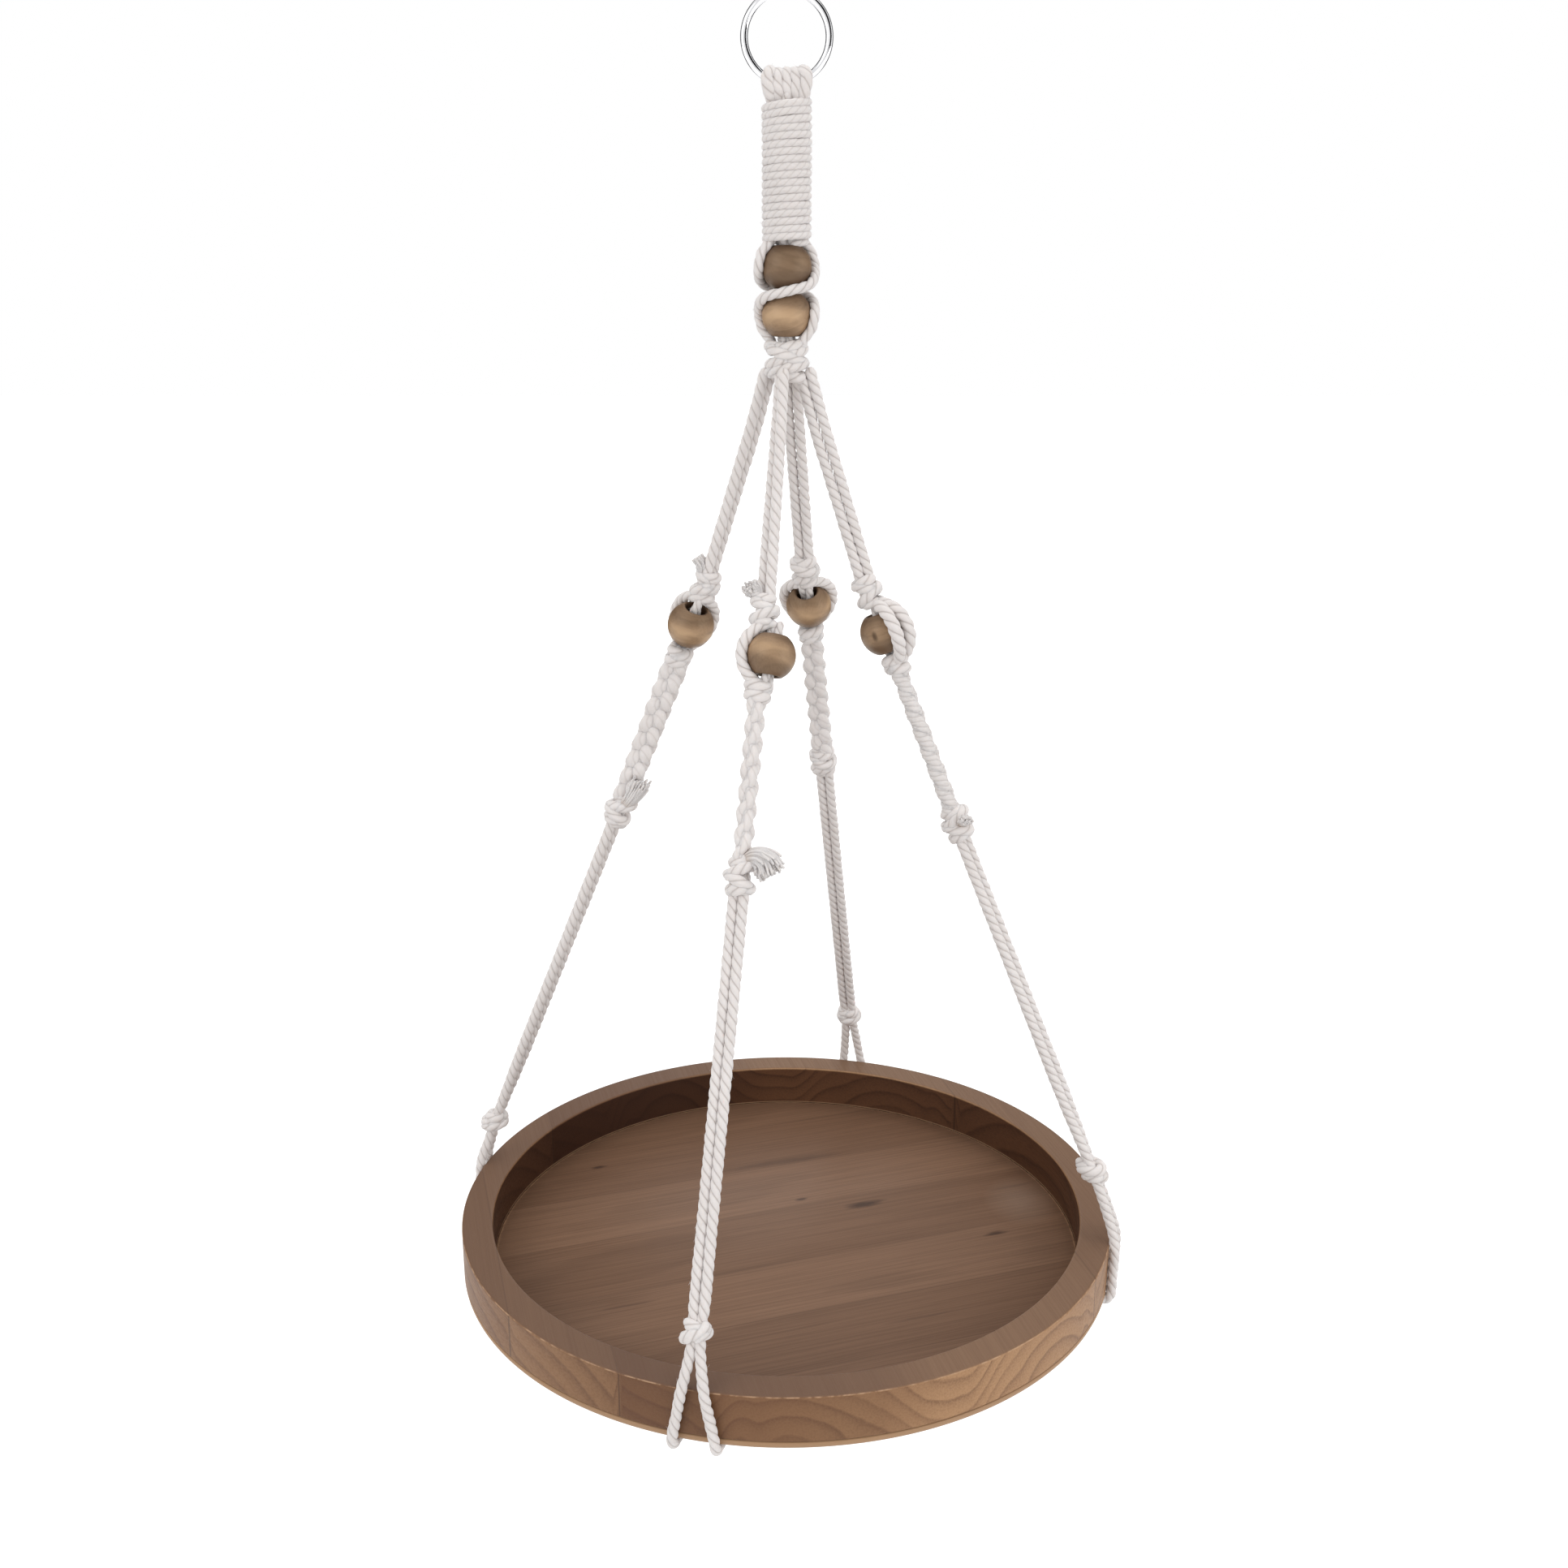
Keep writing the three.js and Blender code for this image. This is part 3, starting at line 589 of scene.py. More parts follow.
FLOOR_PLANKS = (
    (-200, -122, 60), (-101, -80, 48), (-62, -40, 70), (-22, 0, 52), (23, 46, 66), (64, 84, 58),
    (106, 126, 50),
)
FLOOR_TONES = (
    (-200, 0.46), (-102, 0.46), (-100, 0.36), (-63, 0.42), (-61, 0.54), (-23, 0.50), (-21, 0.40),
    (22, 0.44), (24, 0.62), (63, 0.56), (65, 0.38), (105, 0.44), (107, 0.5),
)
FLOOR_MARKS = (                            # plan place, half length, half width, strength
    (-95.3, 64.1, 4.5, 1.6, 0.78), (7.5, 32.7, 4.0, 1.5, 0.78), (38.2, 28.1, 12.0, 3.4, 0.78),
    (99.4, 1.8, 7.0, 1.8, 0.78), (8.0, 72.0, 26.0, 1.7, 0.34), (-4.0, 69.5, 34.0, 3.0, 0.34),
    (-70.0, -58.0, 18.0, 1.1, 0.34), (60.0, -66.0, 22.0, 1.2, 0.34),
    (112.0, 45.0, 16.0, 1.3, 0.34),
)


def board_wood(name, grain, boards, tones, joints, between, spacing, bend):
    """A material of glued boards with what its colours come from: the place, the same along
    the boards, height and distance from the shelf's axis in millimetres, the growth rings and
    tone of the board, and how near the next joint is. The board's heart and tone are read
    from tables by the place across the boards."""
    tree, shader = new_material(name)
    place = object_place(tree)
    turn = {"Vector": place, "Rotation": (0.0, 0.0, math.radians(grain))}
    along = put(tree, "Mapping", turn, vector_type="TEXTURE").outputs[0]
    across = put(tree, "SeparateXYZ", {0: along}).outputs[1]
    half = TABLE_HALF * METRES
    share = spread(across, -half, half)

    def table(rows, interpolation):
        stops = [((row[0] + TABLE_HALF) / (2 * TABLE_HALF), row[1:]) for row in rows]
        return steps(share, stops, interpolation)

    hearts = table([
        (start, (heart + TABLE_HALF) / (2 * TABLE_HALF), (up + HEART_HALF) / (2 * HEART_HALF), 0.0)
        for start, heart, up in boards
    ], between)
    parts = put(tree, "SeparateColor", {0: hearts}).outputs
    deep = HEART_HALF * METRES
    heart = put(tree, "CombineXYZ", {
        1: times_plus(parts[0], 2 * half, -half), 2: times_plus(parts[1], 2 * deep, RIM_TOP - deep),
    }).outputs[0]
    lines = [
        spread(value_of("ABSOLUTE", minus(across, start * METRES)), 0.00012, 0.0004, 1.0, 0.0)
        for start in joints
    ]
    return SimpleNamespace(
        tree=tree, shader=shader, place=place, along=along,
        height=times(minus(put(tree, "SeparateXYZ", {0: place}).outputs[2], RIM_TOP), 1 / METRES),
        radius=times(length_of(place, (1.0, 1.0, 0.0)), 1 / METRES),
        rings=use_group(tree, GROWTH_RINGS, {
            "Place": along, "Heart": heart, "Spacing": spacing * METRES, "Bend": bend * METRES,
        }),
        tone=table([(start, t, t, t) for start, t in tones], "LINEAR"),
        joint=reduce(larger, lines),
    )


def rim_wood():
    """Glued boards of softwood with a brown stain, painted shade on the inner wall, and a pale
    outer top edge that is partly painted highlight and partly wear.
    """
    wood = board_wood(
        "rim_wood_stained", RIM_GRAIN, RIM_BOARDS, RIM_TONES, RIM_JOINTS, "EASE", 8.4, 30.0)
    height, radius, rings = wood.height, wood.radius, wood.rings
    colour = layered(
        blend(wood.tone, rgb(102, 67, 41), rgb(202, 159, 116)),
        (times(rings["Ring"], spread(height, -0.9, -0.3, 0.95, 0.26)), (80, 47, 28)),
        (spread(rings["Fibre"], 0.42, 0.75, 0.0, 0.3), (94, 62, 42)),
        (spread(rings["Cloud"], 0.42, 0.62, 0.0, 0.3), (124, 86, 58)),
        (times(wood.joint, 0.55), (58, 38, 26)),
        (spread(height, -0.5, -0.1, 0.0, 0.72), (107, 82, 67)),
    )
    inside = spread(radius, 136.3, 137.0, 1.0, 0.0)
    # Painted shade: the inner wall below its rounded top edge is multiplied towards dark brown.
    wall = times(times(inside, spread(height, -1.2, -0.4, 1.0, 0.0)), 0.85)
    stained_and_shaded = blend(wall, colour, rgb(92, 50, 23), "MULTIPLY")
    # Pale, broken line along the rounded outer top edge: partly painted highlight, partly wear.
    edge = times(spread(radius, 149.55, 149.8), spread(height, -0.7, -0.5))
    highlight_and_wear = times(edge, spread(noise(wood.place, 260.0, 3.0), 0.42, 0.62, 0.0, 0.75))
    dust = times(inside, spread(height, -20.3, -19.7, 0.75, 0.0))
    pale = layered(stained_and_shaded, (larger(highlight_and_wear, dust), (186, 150, 118)))
    satin = spread(rings["Fibre"], 0.3, 0.8, 0.46, 0.62)
    finish(wood.shader, pale, satin, rings["Fibre"], 0.25, 0.2, {"Specular IOR Level": 0.3})


def floor_wood():
    """Planks with fine lines of grain, dark knots with resin streaks, a satin finish, and a
    painted pool of pale light a little right of the middle.
    """
    seams = [start for start, *_ in FLOOR_PLANKS[1:]]
    wood = board_wood(
        "floor_wood_stained", FLOOR_GRAIN, FLOOR_PLANKS, FLOOR_TONES, seams, "CONSTANT", 6.6, 14.0)
    radius, rings = wood.radius, wood.rings
    masks = []
    for x, y, length, width, strength in FLOOR_MARKS:
        centre = turned(np.array([x, y, 0.0]), -FLOOR_GRAIN) * METRES
        mask = use_group(wood.tree, RESIN_MARK, {
            "Place": wood.along, "Centre": tuple(centre),
            "Reach": (length * METRES, width * METRES, 1.0),
        })["Mask"]
        masks.append(times(mask, strength))
    # Painted pool of pale light on the floor, a little right of the middle.
    painted_glow_distance = length_of(vector_of("SUBTRACT", wood.place, (0.115, 0.032, 0.0)), (60.0, 45.0, 0.0))
    corner = times(spread(radius, 134.6, 135.6), spread(wood.height, -20.7, -20.6))
    dust = times(corner, spread(noise(wood.place, 320.0, 3.0), 0.35, 0.62, 0.2, 0.85))
    colour = layered(
        blend(wood.tone, rgb(96, 67, 48), rgb(153, 118, 93)),
        (times(rings["Ring"], 0.34), (68, 45, 30)),
        (spread(rings["Fibre"], 0.38, 0.66, 0.0, 0.36), (80, 56, 40)),
        (reduce(larger, masks), (58, 40, 32)),
        (times(wood.joint, 0.35), (70, 50, 38)),
        # Painted pool of pale light.
        (spread(painted_glow_distance, 0.2, 1.1, 0.2, 0.0), (176, 156, 140)),
        (spread(radius, 147.6, 148.8, 0.0, 0.8), (172, 136, 102)),
        (dust, (178, 140, 108)),
    )
    satin = spread(rings["Cloud"], 0.3, 0.7, 0.42, 0.56)
    finish(wood.shader, colour, satin, rings["Fibre"], 0.2, 0.15, {"Specular IOR Level": 0.32})


def bead_wood():
    """Turned beads with a satin finish: bands round the axis from the growth rings, streaks
    along it, a painted golden highlight band with painted shade on either side of it, and
    painted shade on the ends at the bore."""
    tree, shader = new_material("bead_wood_turned")
    place = mark(tree, "turned_place", "Vector")
    tone, highlight_band = mark(tree, "bead_tone"), mark(tree, "highlight_band")
    heart = put(tree, "CombineXYZ", {1: 0.004, 2: -0.034}).outputs[0]
    rings = use_group(tree, GROWTH_RINGS, {
        "Place": place, "Heart": heart, "Spacing": 0.0052, "Bend": 0.007,
    })
    cloud = noise(place, (60.0, 60.0, 160.0))
    # Painted highlight: the band round the bead, broken up by slow noise.
    highlight_patch = times(highlight_band, spread(cloud, 0.36, 0.6, 0.1, 1.0))
    colour = layered(
        blend(tone, rgb(100, 78, 60), rgb(156, 127, 99)),
        (times(rings["Ring"], 0.5), (74, 54, 38)),
        (spread(rings["Fibre"], 0.45, 0.75, 0.0, 0.3), (82, 62, 46)),
        # Painted golden highlight, stronger on paler beads.
        (times(highlight_patch, times_plus(tone, 0.7, 0.15)), (192, 160, 126)),
        # Painted shade above and below the highlight band.
        (spread(highlight_band, 0.0, 0.45, 0.46, 0.0), (72, 54, 42)),
        # Painted shade on the ends at the bore, and the right bead's dark knot.
        (times(mark(tree, "bore_shade_and_knot"), 0.7), (60, 40, 28)),
    )
    satin = spread(rings["Fibre"], 0.3, 0.8, 0.38, 0.5)
    finish(shader, colour, satin, rings["Fibre"], 0.2, 0.12, {
        "Specular IOR Level": 0.6, "Specular Tint": rgb(255, 232, 204),
    })


def cotton():
    """Undyed cotton: fine fibres along the cord, painted grey-brown shade down in the grooves
    between the plies, soft sheen."""
    tree, shader = new_material("cotton_undyed")
    place = object_place(tree)
    fine = noise(mark(tree, "thread", "Vector"), (11.0, 11.0, 1.6), 3.0, 0.6)
    tufts, large = noise(place, 900.0), noise(place, 34.0, 1.0)
    colour = layered(
        blend(large, rgb(222, 216, 213), rgb(232, 227, 225)),
        (spread(fine, 0.4, 0.72, 0.0, 0.22), (206, 197, 192)),
        # Painted shade: grey-brown, deepest down in the grooves between the plies.
        (times(value_of("POWER", mark(tree, "groove"), 3.5), 0.66), (158, 144, 136)),
        (times(mark(tree, "stain"), 0.7), (176, 138, 98)),
    )
    height = times_plus(fine, 0.7, times(tufts, 0.3))
    finish(shader, colour, spread(fine, 0.3, 0.7, 0.86, 0.98), height, 0.55, 0.35, {
        "Specular IOR Level": 0.2, "Sheen Weight": 0.4, "Sheen Roughness": 0.5,
        "Subsurface Weight": 0.3, "Subsurface Radius": (1.0, 0.9, 0.8),
        "Subsurface Scale": 0.0012,
    })


def polished_steel():
    """Chromed wire with faint draw marks and a few dull spots."""
    tree, shader = new_material("ring_steel_polished")
    place = object_place(tree)
    draw_marks, dull = noise(place, 1600.0), noise(place, 180.0)
    colour = blend(spread(dull, 0.45, 0.7), rgb(226, 226, 228), rgb(214, 214, 216))
    rough = spread(dull, 0.4, 0.75, 0.05, 0.08)
    finish(shader, colour, rough, draw_marks, 0.006, 0.01, {"Metallic": 1.0})


cotton()
bead_wood()
rim_wood()
floor_wood()
polished_steel()


# Legs: places and directions

def leg_point(height, offset=0.0, turn=0.0):
    """A point of a leg's own plane: outward, along the tangent, up. A turn, in degrees, takes
    its offset from the tangent towards the leg's outer side."""
    turn = math.radians(turn)
    out = offset * math.sin(turn)
    return np.array([
        np.interp(height, LEG_HEIGHTS, LEG_DISTANCES) + out * math.cos(LEG_LEAN),
        offset * math.cos(turn), height + out * math.sin(LEG_LEAN),
    ])


def leg_axes(leg, high=None, low=None):
    """Outward, sideways and up along the leg between two heights, or between its upper and
    its tail knot, in the shelf's own directions, as columns."""
    up = unit(leg_point(high or leg["upper"]) - leg_point(low or leg["tail"]))
    side = np.array([0.0, 1.0, 0.0])
    return turned(np.column_stack([np.cross(side, up), side, up]).T, leg["azimuth"]).T


def leg_place(leg, height, below=0.0):
    """The point on the leg's middle line at a height, or a distance below it."""
    return turned(leg_point(height), leg["azimuth"]) - leg_axes(leg)[:, 2] * below


def run_length(leg):
    """The straight distance from a leg's upper knot to its tail knot."""
    return float(np.linalg.norm(leg_point(leg["upper"]) - leg_point(leg["tail"])))


def bead_axes(leg):
    """The leg's directions leaned sideways and outward with the bead, as columns."""
    side, out = math.radians(-leg["lean_side"]), math.radians(leg["lean_out"])
    about_out = np.array([
        [1, 0, 0], [0, math.cos(side), -math.sin(side)], [0, math.sin(side), math.cos(side)],
    ])
    about_side = np.array([
        [math.cos(out), 0, math.sin(out)], [0, 1, 0], [-math.sin(out), 0, math.cos(out)],
    ])
    return leg_axes(leg) @ about_out @ about_side


def bead_place(leg):
    """The middle of the leg's bead, below its upper knot and shifted to one side."""
    return leg_place(leg, leg["upper"], KNOT_TO_BEAD) + leg_axes(leg)[:, 1] * leg["shift"]


# Sling: four whole cords from a leg's tail knot under the tray to the opposite one

def sling_run(leg, sign):
    """One cord in its leg's plane: down from the tail knot beside its neighbour, pinched in
    the lower knot, spread over the rim, down the wall and round its lower edge."""
    def at_wall(offset):
        return math.sqrt(SLING_REACH ** 2 - offset ** 2)

    lower, wall_foot = leg["lower"], -FLOOR_BOTTOM + FLOOR_ROUND
    top, foot = lower + LOWER_KNOT_HALF, lower - LOWER_KNOT_HALF
    heights = leg["tail"] + np.linspace(0.0, 1.0, 6)[:-1] * (top - leg["tail"])
    points = [leg_point(h, sign * PAIR_OFFSET, leg["sling_turn"]) for h in heights]
    pinch = (
        (top + 2.0, 2.05), (top - 2.0, 1.7), (lower, 1.6), (foot + 2.0, 1.8), (foot - 2.0, 2.3),
    )
    points += [leg_point(h, sign * offset) for h, offset in pinch]
    for part in (0.0, 0.5, 1.0):
        offset = RIM_HALF + part * (FLOOR_HALF - RIM_HALF)
        points.append(np.array([at_wall(offset), sign * offset, part * wall_foot]))
    corner = at_wall(FLOOR_HALF) - SLING_CORNER
    for angle in np.radians([30.0, 60.0, 90.0]):
        points.append(np.array([
            corner + SLING_CORNER * math.cos(angle), sign * FLOOR_HALF,
            wall_foot - SLING_CORNER * math.sin(angle),
        ]))
    return np.array(points)


def sling_path(leg, opposite, sign, layer):
    """The whole cord: one leg's run, straight under the tray with a dip where it passes below
    the other pair, and the opposite leg's run back up."""
    start = sling_run(leg, sign)
    end = sling_run(opposite, -sign) * (-1.0, -1.0, 1.0)
    dip = layer * SLING_LAYER
    edge = start[-1][0]
    ramp = SLING_DIP + SLING_RAMP
    half = [((edge + ramp) / 2, -SLING_FLOOR), (ramp + 2 * SLING_CORNER, -SLING_FLOOR)]
    for out, down in ((1.0, 0.0), (0.67, 0.2), (0.33, 0.8), (0.0, 1.0)):
        half.append((SLING_DIP + out * SLING_RAMP, -SLING_FLOOR - down * dip))
    whole = half + [(0.0, -SLING_FLOOR - dip)] + [(-x, z) for x, z in reversed(half)]
    middle = np.array([(x, sign * FLOOR_HALF, z) for x, z in whole])
    return turned(np.vstack([start, middle, end[::-1]]), leg["azimuth"])


def make_sling():
    """Two pairs of whole cords that cross under the tray."""
    for near, far, layer in (("front", "rear", 0), ("left", "right", 1)):
        for letter, sign in PAIR:
            route = sling_path(LEGS[near], LEGS[far], sign, layer)
            make_knotted(f"{near}_{far}_sling_cord_{letter}", cord(smooth(route), start=sign * 0.9))


def make_upper_cords():
    """Pairs of cords from the gathering knot out to each leg's upper knot, with a little slack
    that differs from cord to cord."""
    for name, leg in LEGS.items():
        heights = np.linspace(GATHER_FOOT + 3.0, leg["upper"], 5)
        turns = np.linspace(*leg["upper_turn"], 5)
        for letter, sign in PAIR:
            slack = np.array([0.0, 0.35, 0.25, 0.1, 0.0]) * (1.0 + 0.4 * sign) * 0.5
            points = np.array([
                leg_point(height, sign * (PAIR_OFFSET + loose), turn)
                for height, loose, turn in zip(heights, slack, turns)
            ])
            path = smooth(turned(points, leg["azimuth"]))
            shell = cord(path, start=1.3 * sign + leg["azimuth"])
            make_knotted(f"{name}_upper_cord_{letter}", shell)


# Knots: cords wound in bands about a middle line, ends drawn inside

KNOT_RADIUS = 2.5                          # of the cord in most knots
GATHER_RADIUS = 2.45
LOWER_RADIUS = 2.55
KNOT_PLY = 0.27
BAND_POINTS = 160
DRAWN_IN = 0.4                             # a band's ends lie at this share of its reach


def band(turns, start, out, side, low, high, tilt=0.0, towards=0.0, bulge=0.0, bulge_at=0.0,
         dive=0.14):
    """The path of a cord that winds round a knot: the bearing runs on evenly, the reach is an
    oval that bulges to one bearing, the height rises evenly and tips with the cosine of the
    bearing, and both ends draw in to the middle. Angles in degrees."""
    t = np.linspace(0.0, 1.0, BAND_POINTS)
    bearing = math.radians(start) + 2 * np.pi * turns * t
    near = np.clip(np.minimum(t, 1 - t) / dive, 0, 1)
    inward = np.sin(np.pi / 2 * near) * (1 - DRAWN_IN) + DRAWN_IN
    swell = 1.0 + bulge * np.maximum(0.0, np.cos(bearing - math.radians(bulge_at))) ** 2
    reach = inward * swell
    lift = low + (high - low) * t + tilt * np.cos(bearing - math.radians(towards))
    return even(points_of(out * reach * np.cos(bearing), side * reach * np.sin(bearing), lift))


def knot(bands, radius=KNOT_RADIUS):
    """A knot from its bands, in cord that is pressed soft."""
    return join([
        cord(band(*row), radius, start=0.7 * i, ply=KNOT_PLY) for i, row in enumerate(bands)
    ])


# Each band has its turns and first bearing, its reach outward and sideways and its heights,
# then how far it tips and to where, and how far it bulges and where

GATHER_KNOT = (                            # crossed pairs, a pair that binds them, the inside
    (1.2, 120, 6.2, 5.2, 5.3, 5.8, 0.9),
    (1.25, 160, 6.8, 6.0, 2.0, 3.0, -3.3, 0, 0.08, -110),
    (1.25, -20, 6.6, 5.7, 1.0, 1.8, 3.0),
    (1.2, 60, 6.9, 5.8, -3.0, -2.4, 1.8, 0, 0.06, -60),
    (1.2, 210, 6.5, 5.5, -5.8, -5.3, -1.2),
    (0.5, 0, 4.4, 3.4, -6.0, 6.0, 0, 0, 0, 0, 0.5),
    (0.5, 180, 4.4, 3.4, -6.0, 6.0, 0, 0, 0, 0, 0.5),
)
UPPER_KNOTS = {
    "front": (
        (1.2, -160, 3.6, 3.7, 1.6, 2.6, -2.3, 90, 0.1, -90),
        (1.25, -100, 3.9, 4.0, -1.8, -1.0, 2.3, 90),
        (1.1, 30, 3.1, 3.2, -4.8, -4.4, 0.6, -90),
        (0.8, 160, 2.8, 3.0, 4.4, 4.8),
    ),
    "right": (
        (1.2, 120, 3.7, 3.6, 2.0, 2.9, 2.3, 180, 0.1, 180),
        (1.25, 30, 4.0, 3.9, -1.4, -0.6, -2.2, 180),
        (1.1, -60, 3.2, 3.2, -4.6, -4.2, 0.6, 180),
        (0.8, 100, 2.9, 2.9, 4.8, 5.2),
    ),
    "rear": (
        (1.25, 200, 4.4, 4.3, 1.8, 3.0, 2.2, 90, 0.16, 180),
        (1.2, 80, 4.1, 4.0, -1.8, -1.2, -1.8, 90),
        (1.0, -20, 3.1, 3.1, 4.9, 5.3),
        (1.0, 160, 3.2, 3.2, -4.6, -4.2),
    ),
    "left": (
        (1.2, 60, 3.6, 3.6, 2.6, 3.4, 2.3, 0, 0.08),
        (1.25, -40, 3.9, 3.9, -0.6, 0.2, -2.3),
        (1.1, 150, 3.3, 3.4, -4.2, -3.8, 0.8, 180),
        (0.8, 20, 2.9, 2.9, 5.4, 5.8),
    ),
}
TAIL_KNOTS = {
    "front": (
        (1.2, 150, 4.1, 4.1, 1.9, 3.1, 2.2, 90, 0.14, 90),
        (1.25, 20, 4.3, 4.3, -2.4, -1.4, 2.4, -90, 0.12, -90),
        (1.1, -60, 3.5, 3.5, -5.4, -5.0, 0.6, 90),
        (1.0, 60, 3.0, 3.0, 5.2, 5.6),
    ),
    "right": (
        (1.2, 110, 4.1, 4.1, 1.7, 2.9, 2.3, 0, 0.14),
        (1.25, -20, 4.2, 4.3, -2.4, -1.6, 2.3, 180, 0.12, 180),
        (1.1, 30, 3.5, 3.5, -5.4, -5.0, 0.5),
        (1.0, 60, 3.0, 3.0, 5.2, 5.6),
    ),
    "rear": (
        (1.25, 100, 4.3, 4.3, 0.6, 2.0, 2.0, 90, 0.14, 180),
        (1.2, -30, 4.1, 4.1, -3.2, -2.4, -1.4, 90),
        (1.0, 60, 3.3, 3.3, 4.6, 5.0, 0.5),
        (1.0, 200, 3.1, 3.1, -5.8, -5.4),
    ),
    "left": (
        (1.2, 60, 4.1, 4.1, 1.9, 2.9, 2.2, 180, 0.14, 180),
        (1.25, -60, 4.3, 4.3, -2.4, -1.6, 2.0, 0, 0.12),
        (1.1, 130, 3.5, 3.5, -5.4, -5.0, 0.5),
        (1.0, 60, 3.0, 3.0, 5.2, 5.6),
    ),
}
LOWER_KNOTS = {                            # one cord knotted round the pair above the rim
    "front": (
        (1.3, 10, 3.9, 3.9, -1.4, 1.4, 2.1, 80, 0.14, -100),
        (1.1, 200, 3.0, 3.2, 2.6, 3.4, -1.2, 90),
    ),
    "right": (
        (1.3, 120, 3.9, 3.9, 0.6, 2.6, -1.9, 0, 0.14, 160),
        (1.1, -60, 3.4, 3.5, -3.0, -2.0, -1.4),
    ),
    "rear": (
        (1.35, 60, 3.9, 4.0, -0.8, 0.8, 0.3, 90, 0.12, -90),
        (1.0, 170, 3.0, 3.2, 2.8, 3.2),
    ),
    "left": (
        (1.3, 0, 3.9, 3.9, -1.4, 1.2, -2.0, 0, 0.14),
        (1.1, 140, 3.1, 3.2, 2.8, 3.4, -1.0),
    ),
}
COLLAR = ((1.3, 40, 3.3, 3.4, -0.9, 0.0, 0.9, -90), (1.25, 200, 3.1, 3.2, -4.4, -3.6, -0.9, 60))

STUBS = {                                  # cut end beside an upper knot
    "front": ((0.0, -1.0, 2.0), (1.0, -2.8, 5.6), (2.2, -4.8, 8.2), (4.4, -6.0, 8.8)),
    "left": ((1.4, 0.4, 2.0), (3.2, 0.9, 5.6), (4.6, 1.2, 8.8), (6.4, 1.4, 10.4)),
}
STUB_RADIUS = 2.8                          # loosely laid, as it is held by the knot alone
STUB_LAY = 11.0
STUB_FAN = 3.4                             # how wide its threads stand apart
STUB_SEED = 31
TAILS = {                                  # middle line of a frayed end, how wide and how flat
    "front": (
        ((1.0, 1.2, 4.4), (2.2, 4.4, 7.4), (3.2, 8.0, 7.6), (3.8, 11.4, 5.4), (4.0, 13.4, 2.6)),
        7.0, (0.5, 1.0),
    ),
    "right": (
        ((2.4, -2.8, 0.6), (4.6, -5.0, 1.4), (6.4, -7.4, 1.8), (7.4, -9.4, 1.6)),
        2.6, (1.0, 0.7),
    ),
    "left": (
        ((-0.6, 1.6, 1.6), (-3.0, 2.6, 6.0), (-4.4, 3.0, 11.0), (-5.4, 3.0, 17.6)),
        5.4, (1.0, 0.7),
    ),
}
TAIL_SEED = 11                             # of the first leg's, and one more for each leg
TAIL_THREADS = 110
THREAD_RADIUS = 0.66
THREAD_SIDES = 6
TAIL_ROOT = 2.3                            # how wide the threads stand where they start


def frayed_tail(line, fan, seed, flat=(1.0, 0.7), ragged=(-4.2, 1.6), tanned=0.8):
    """Loose threads that start close together on a middle line and spread to a fan at its
    far end, each with a small curl of its own and an end that reaches a little more or less
    far: the offset grows evenly along it, the curl is a sine of the share along it, and the
    reach grows with the square of that share. Flat gives the fan's depth and breadth as
    shares of its reach."""
    rng = np.random.default_rng(seed)
    draw = partial(rng.uniform, size=(TAIL_THREADS, 1))
    middle = smooth(line, 0.9)
    rows = len(middle)
    tangent, normal, across = frames_along(middle)
    share = np.linspace(0.0, 1.0, rows)[None, :]
    spin = draw(0, 2 * np.pi)
    reach = np.sqrt(draw(0.05, 1.0))
    grown = reach * (TAIL_ROOT + (fan - TAIL_ROOT) * share)
    curl = draw(-1.1, 1.1) * np.sin(np.pi * share * draw(0.8, 1.9))
    a = grown * np.cos(spin) * flat[0] + curl * share
    b = grown * np.sin(spin) * flat[1] + curl * share * 0.6
    onward = draw(*ragged) * share ** 2
    paths = middle + a[..., None] * normal + b[..., None] * across + onward[..., None] * tangent
    thick = THREAD_RADIUS * (1.0 - 0.3 * share[0] ** 3)
    angle = round_angles(THREAD_SIDES)
    shape = (rows, THREAD_SIDES)
    stain = np.broadcast_to(np.clip(1.25 - share[0] * 2.6, 0, 1)[:, None], shape) * tanned
    thread = points_of(np.cos(angle), np.sin(angle), np.arange(rows)[:, None] * 0.3)
    shells = []
    for path in paths:
        _, n, s = frames_along(path)
        ring = np.cos(angle)[None, :, None] * n[:, None] + np.sin(angle)[None, :, None] * s[:, None]
        grid = path[:, None] + thick[:, None, None] * ring
        # A little painted groove shade on each loose thread.
        marks = {"thread": thread + path[0], "groove": np.full(shape, 0.25), "stain": stain}
        shells.append(capped(grid, marks))
    return join(shells)


def make_gather_knot():
    """The knot in which all the legs' cords come together."""
    shell = moved(knot(GATHER_KNOT, GATHER_RADIUS), UPRIGHT, np.array([0.0, 0.0, GATHER_HEIGHT]))
    make_knotted("gather_knot", shell)


def make_upper_knots():
    """The knots over the leg beads: wrapped bands, and in two of them a short cut end with
    threads a little apart."""
    for name, leg in LEGS.items():
        shells = [knot(UPPER_KNOTS[name])]
        if name in STUBS:
            line = STUBS[name]
            shells.append(cord(smooth(line)[:-4], STUB_RADIUS, STUB_LAY, ply=0.24))
            shells.append(frayed_tail(
                line[-3:], STUB_FAN, STUB_SEED, ragged=(-1.2, 1.8), tanned=0.0,
            ))
        shell = moved(join(shells), leg_axes(leg), leg_place(leg, leg["upper"]))
        make_knotted(f"{name}_upper_knot", shell)


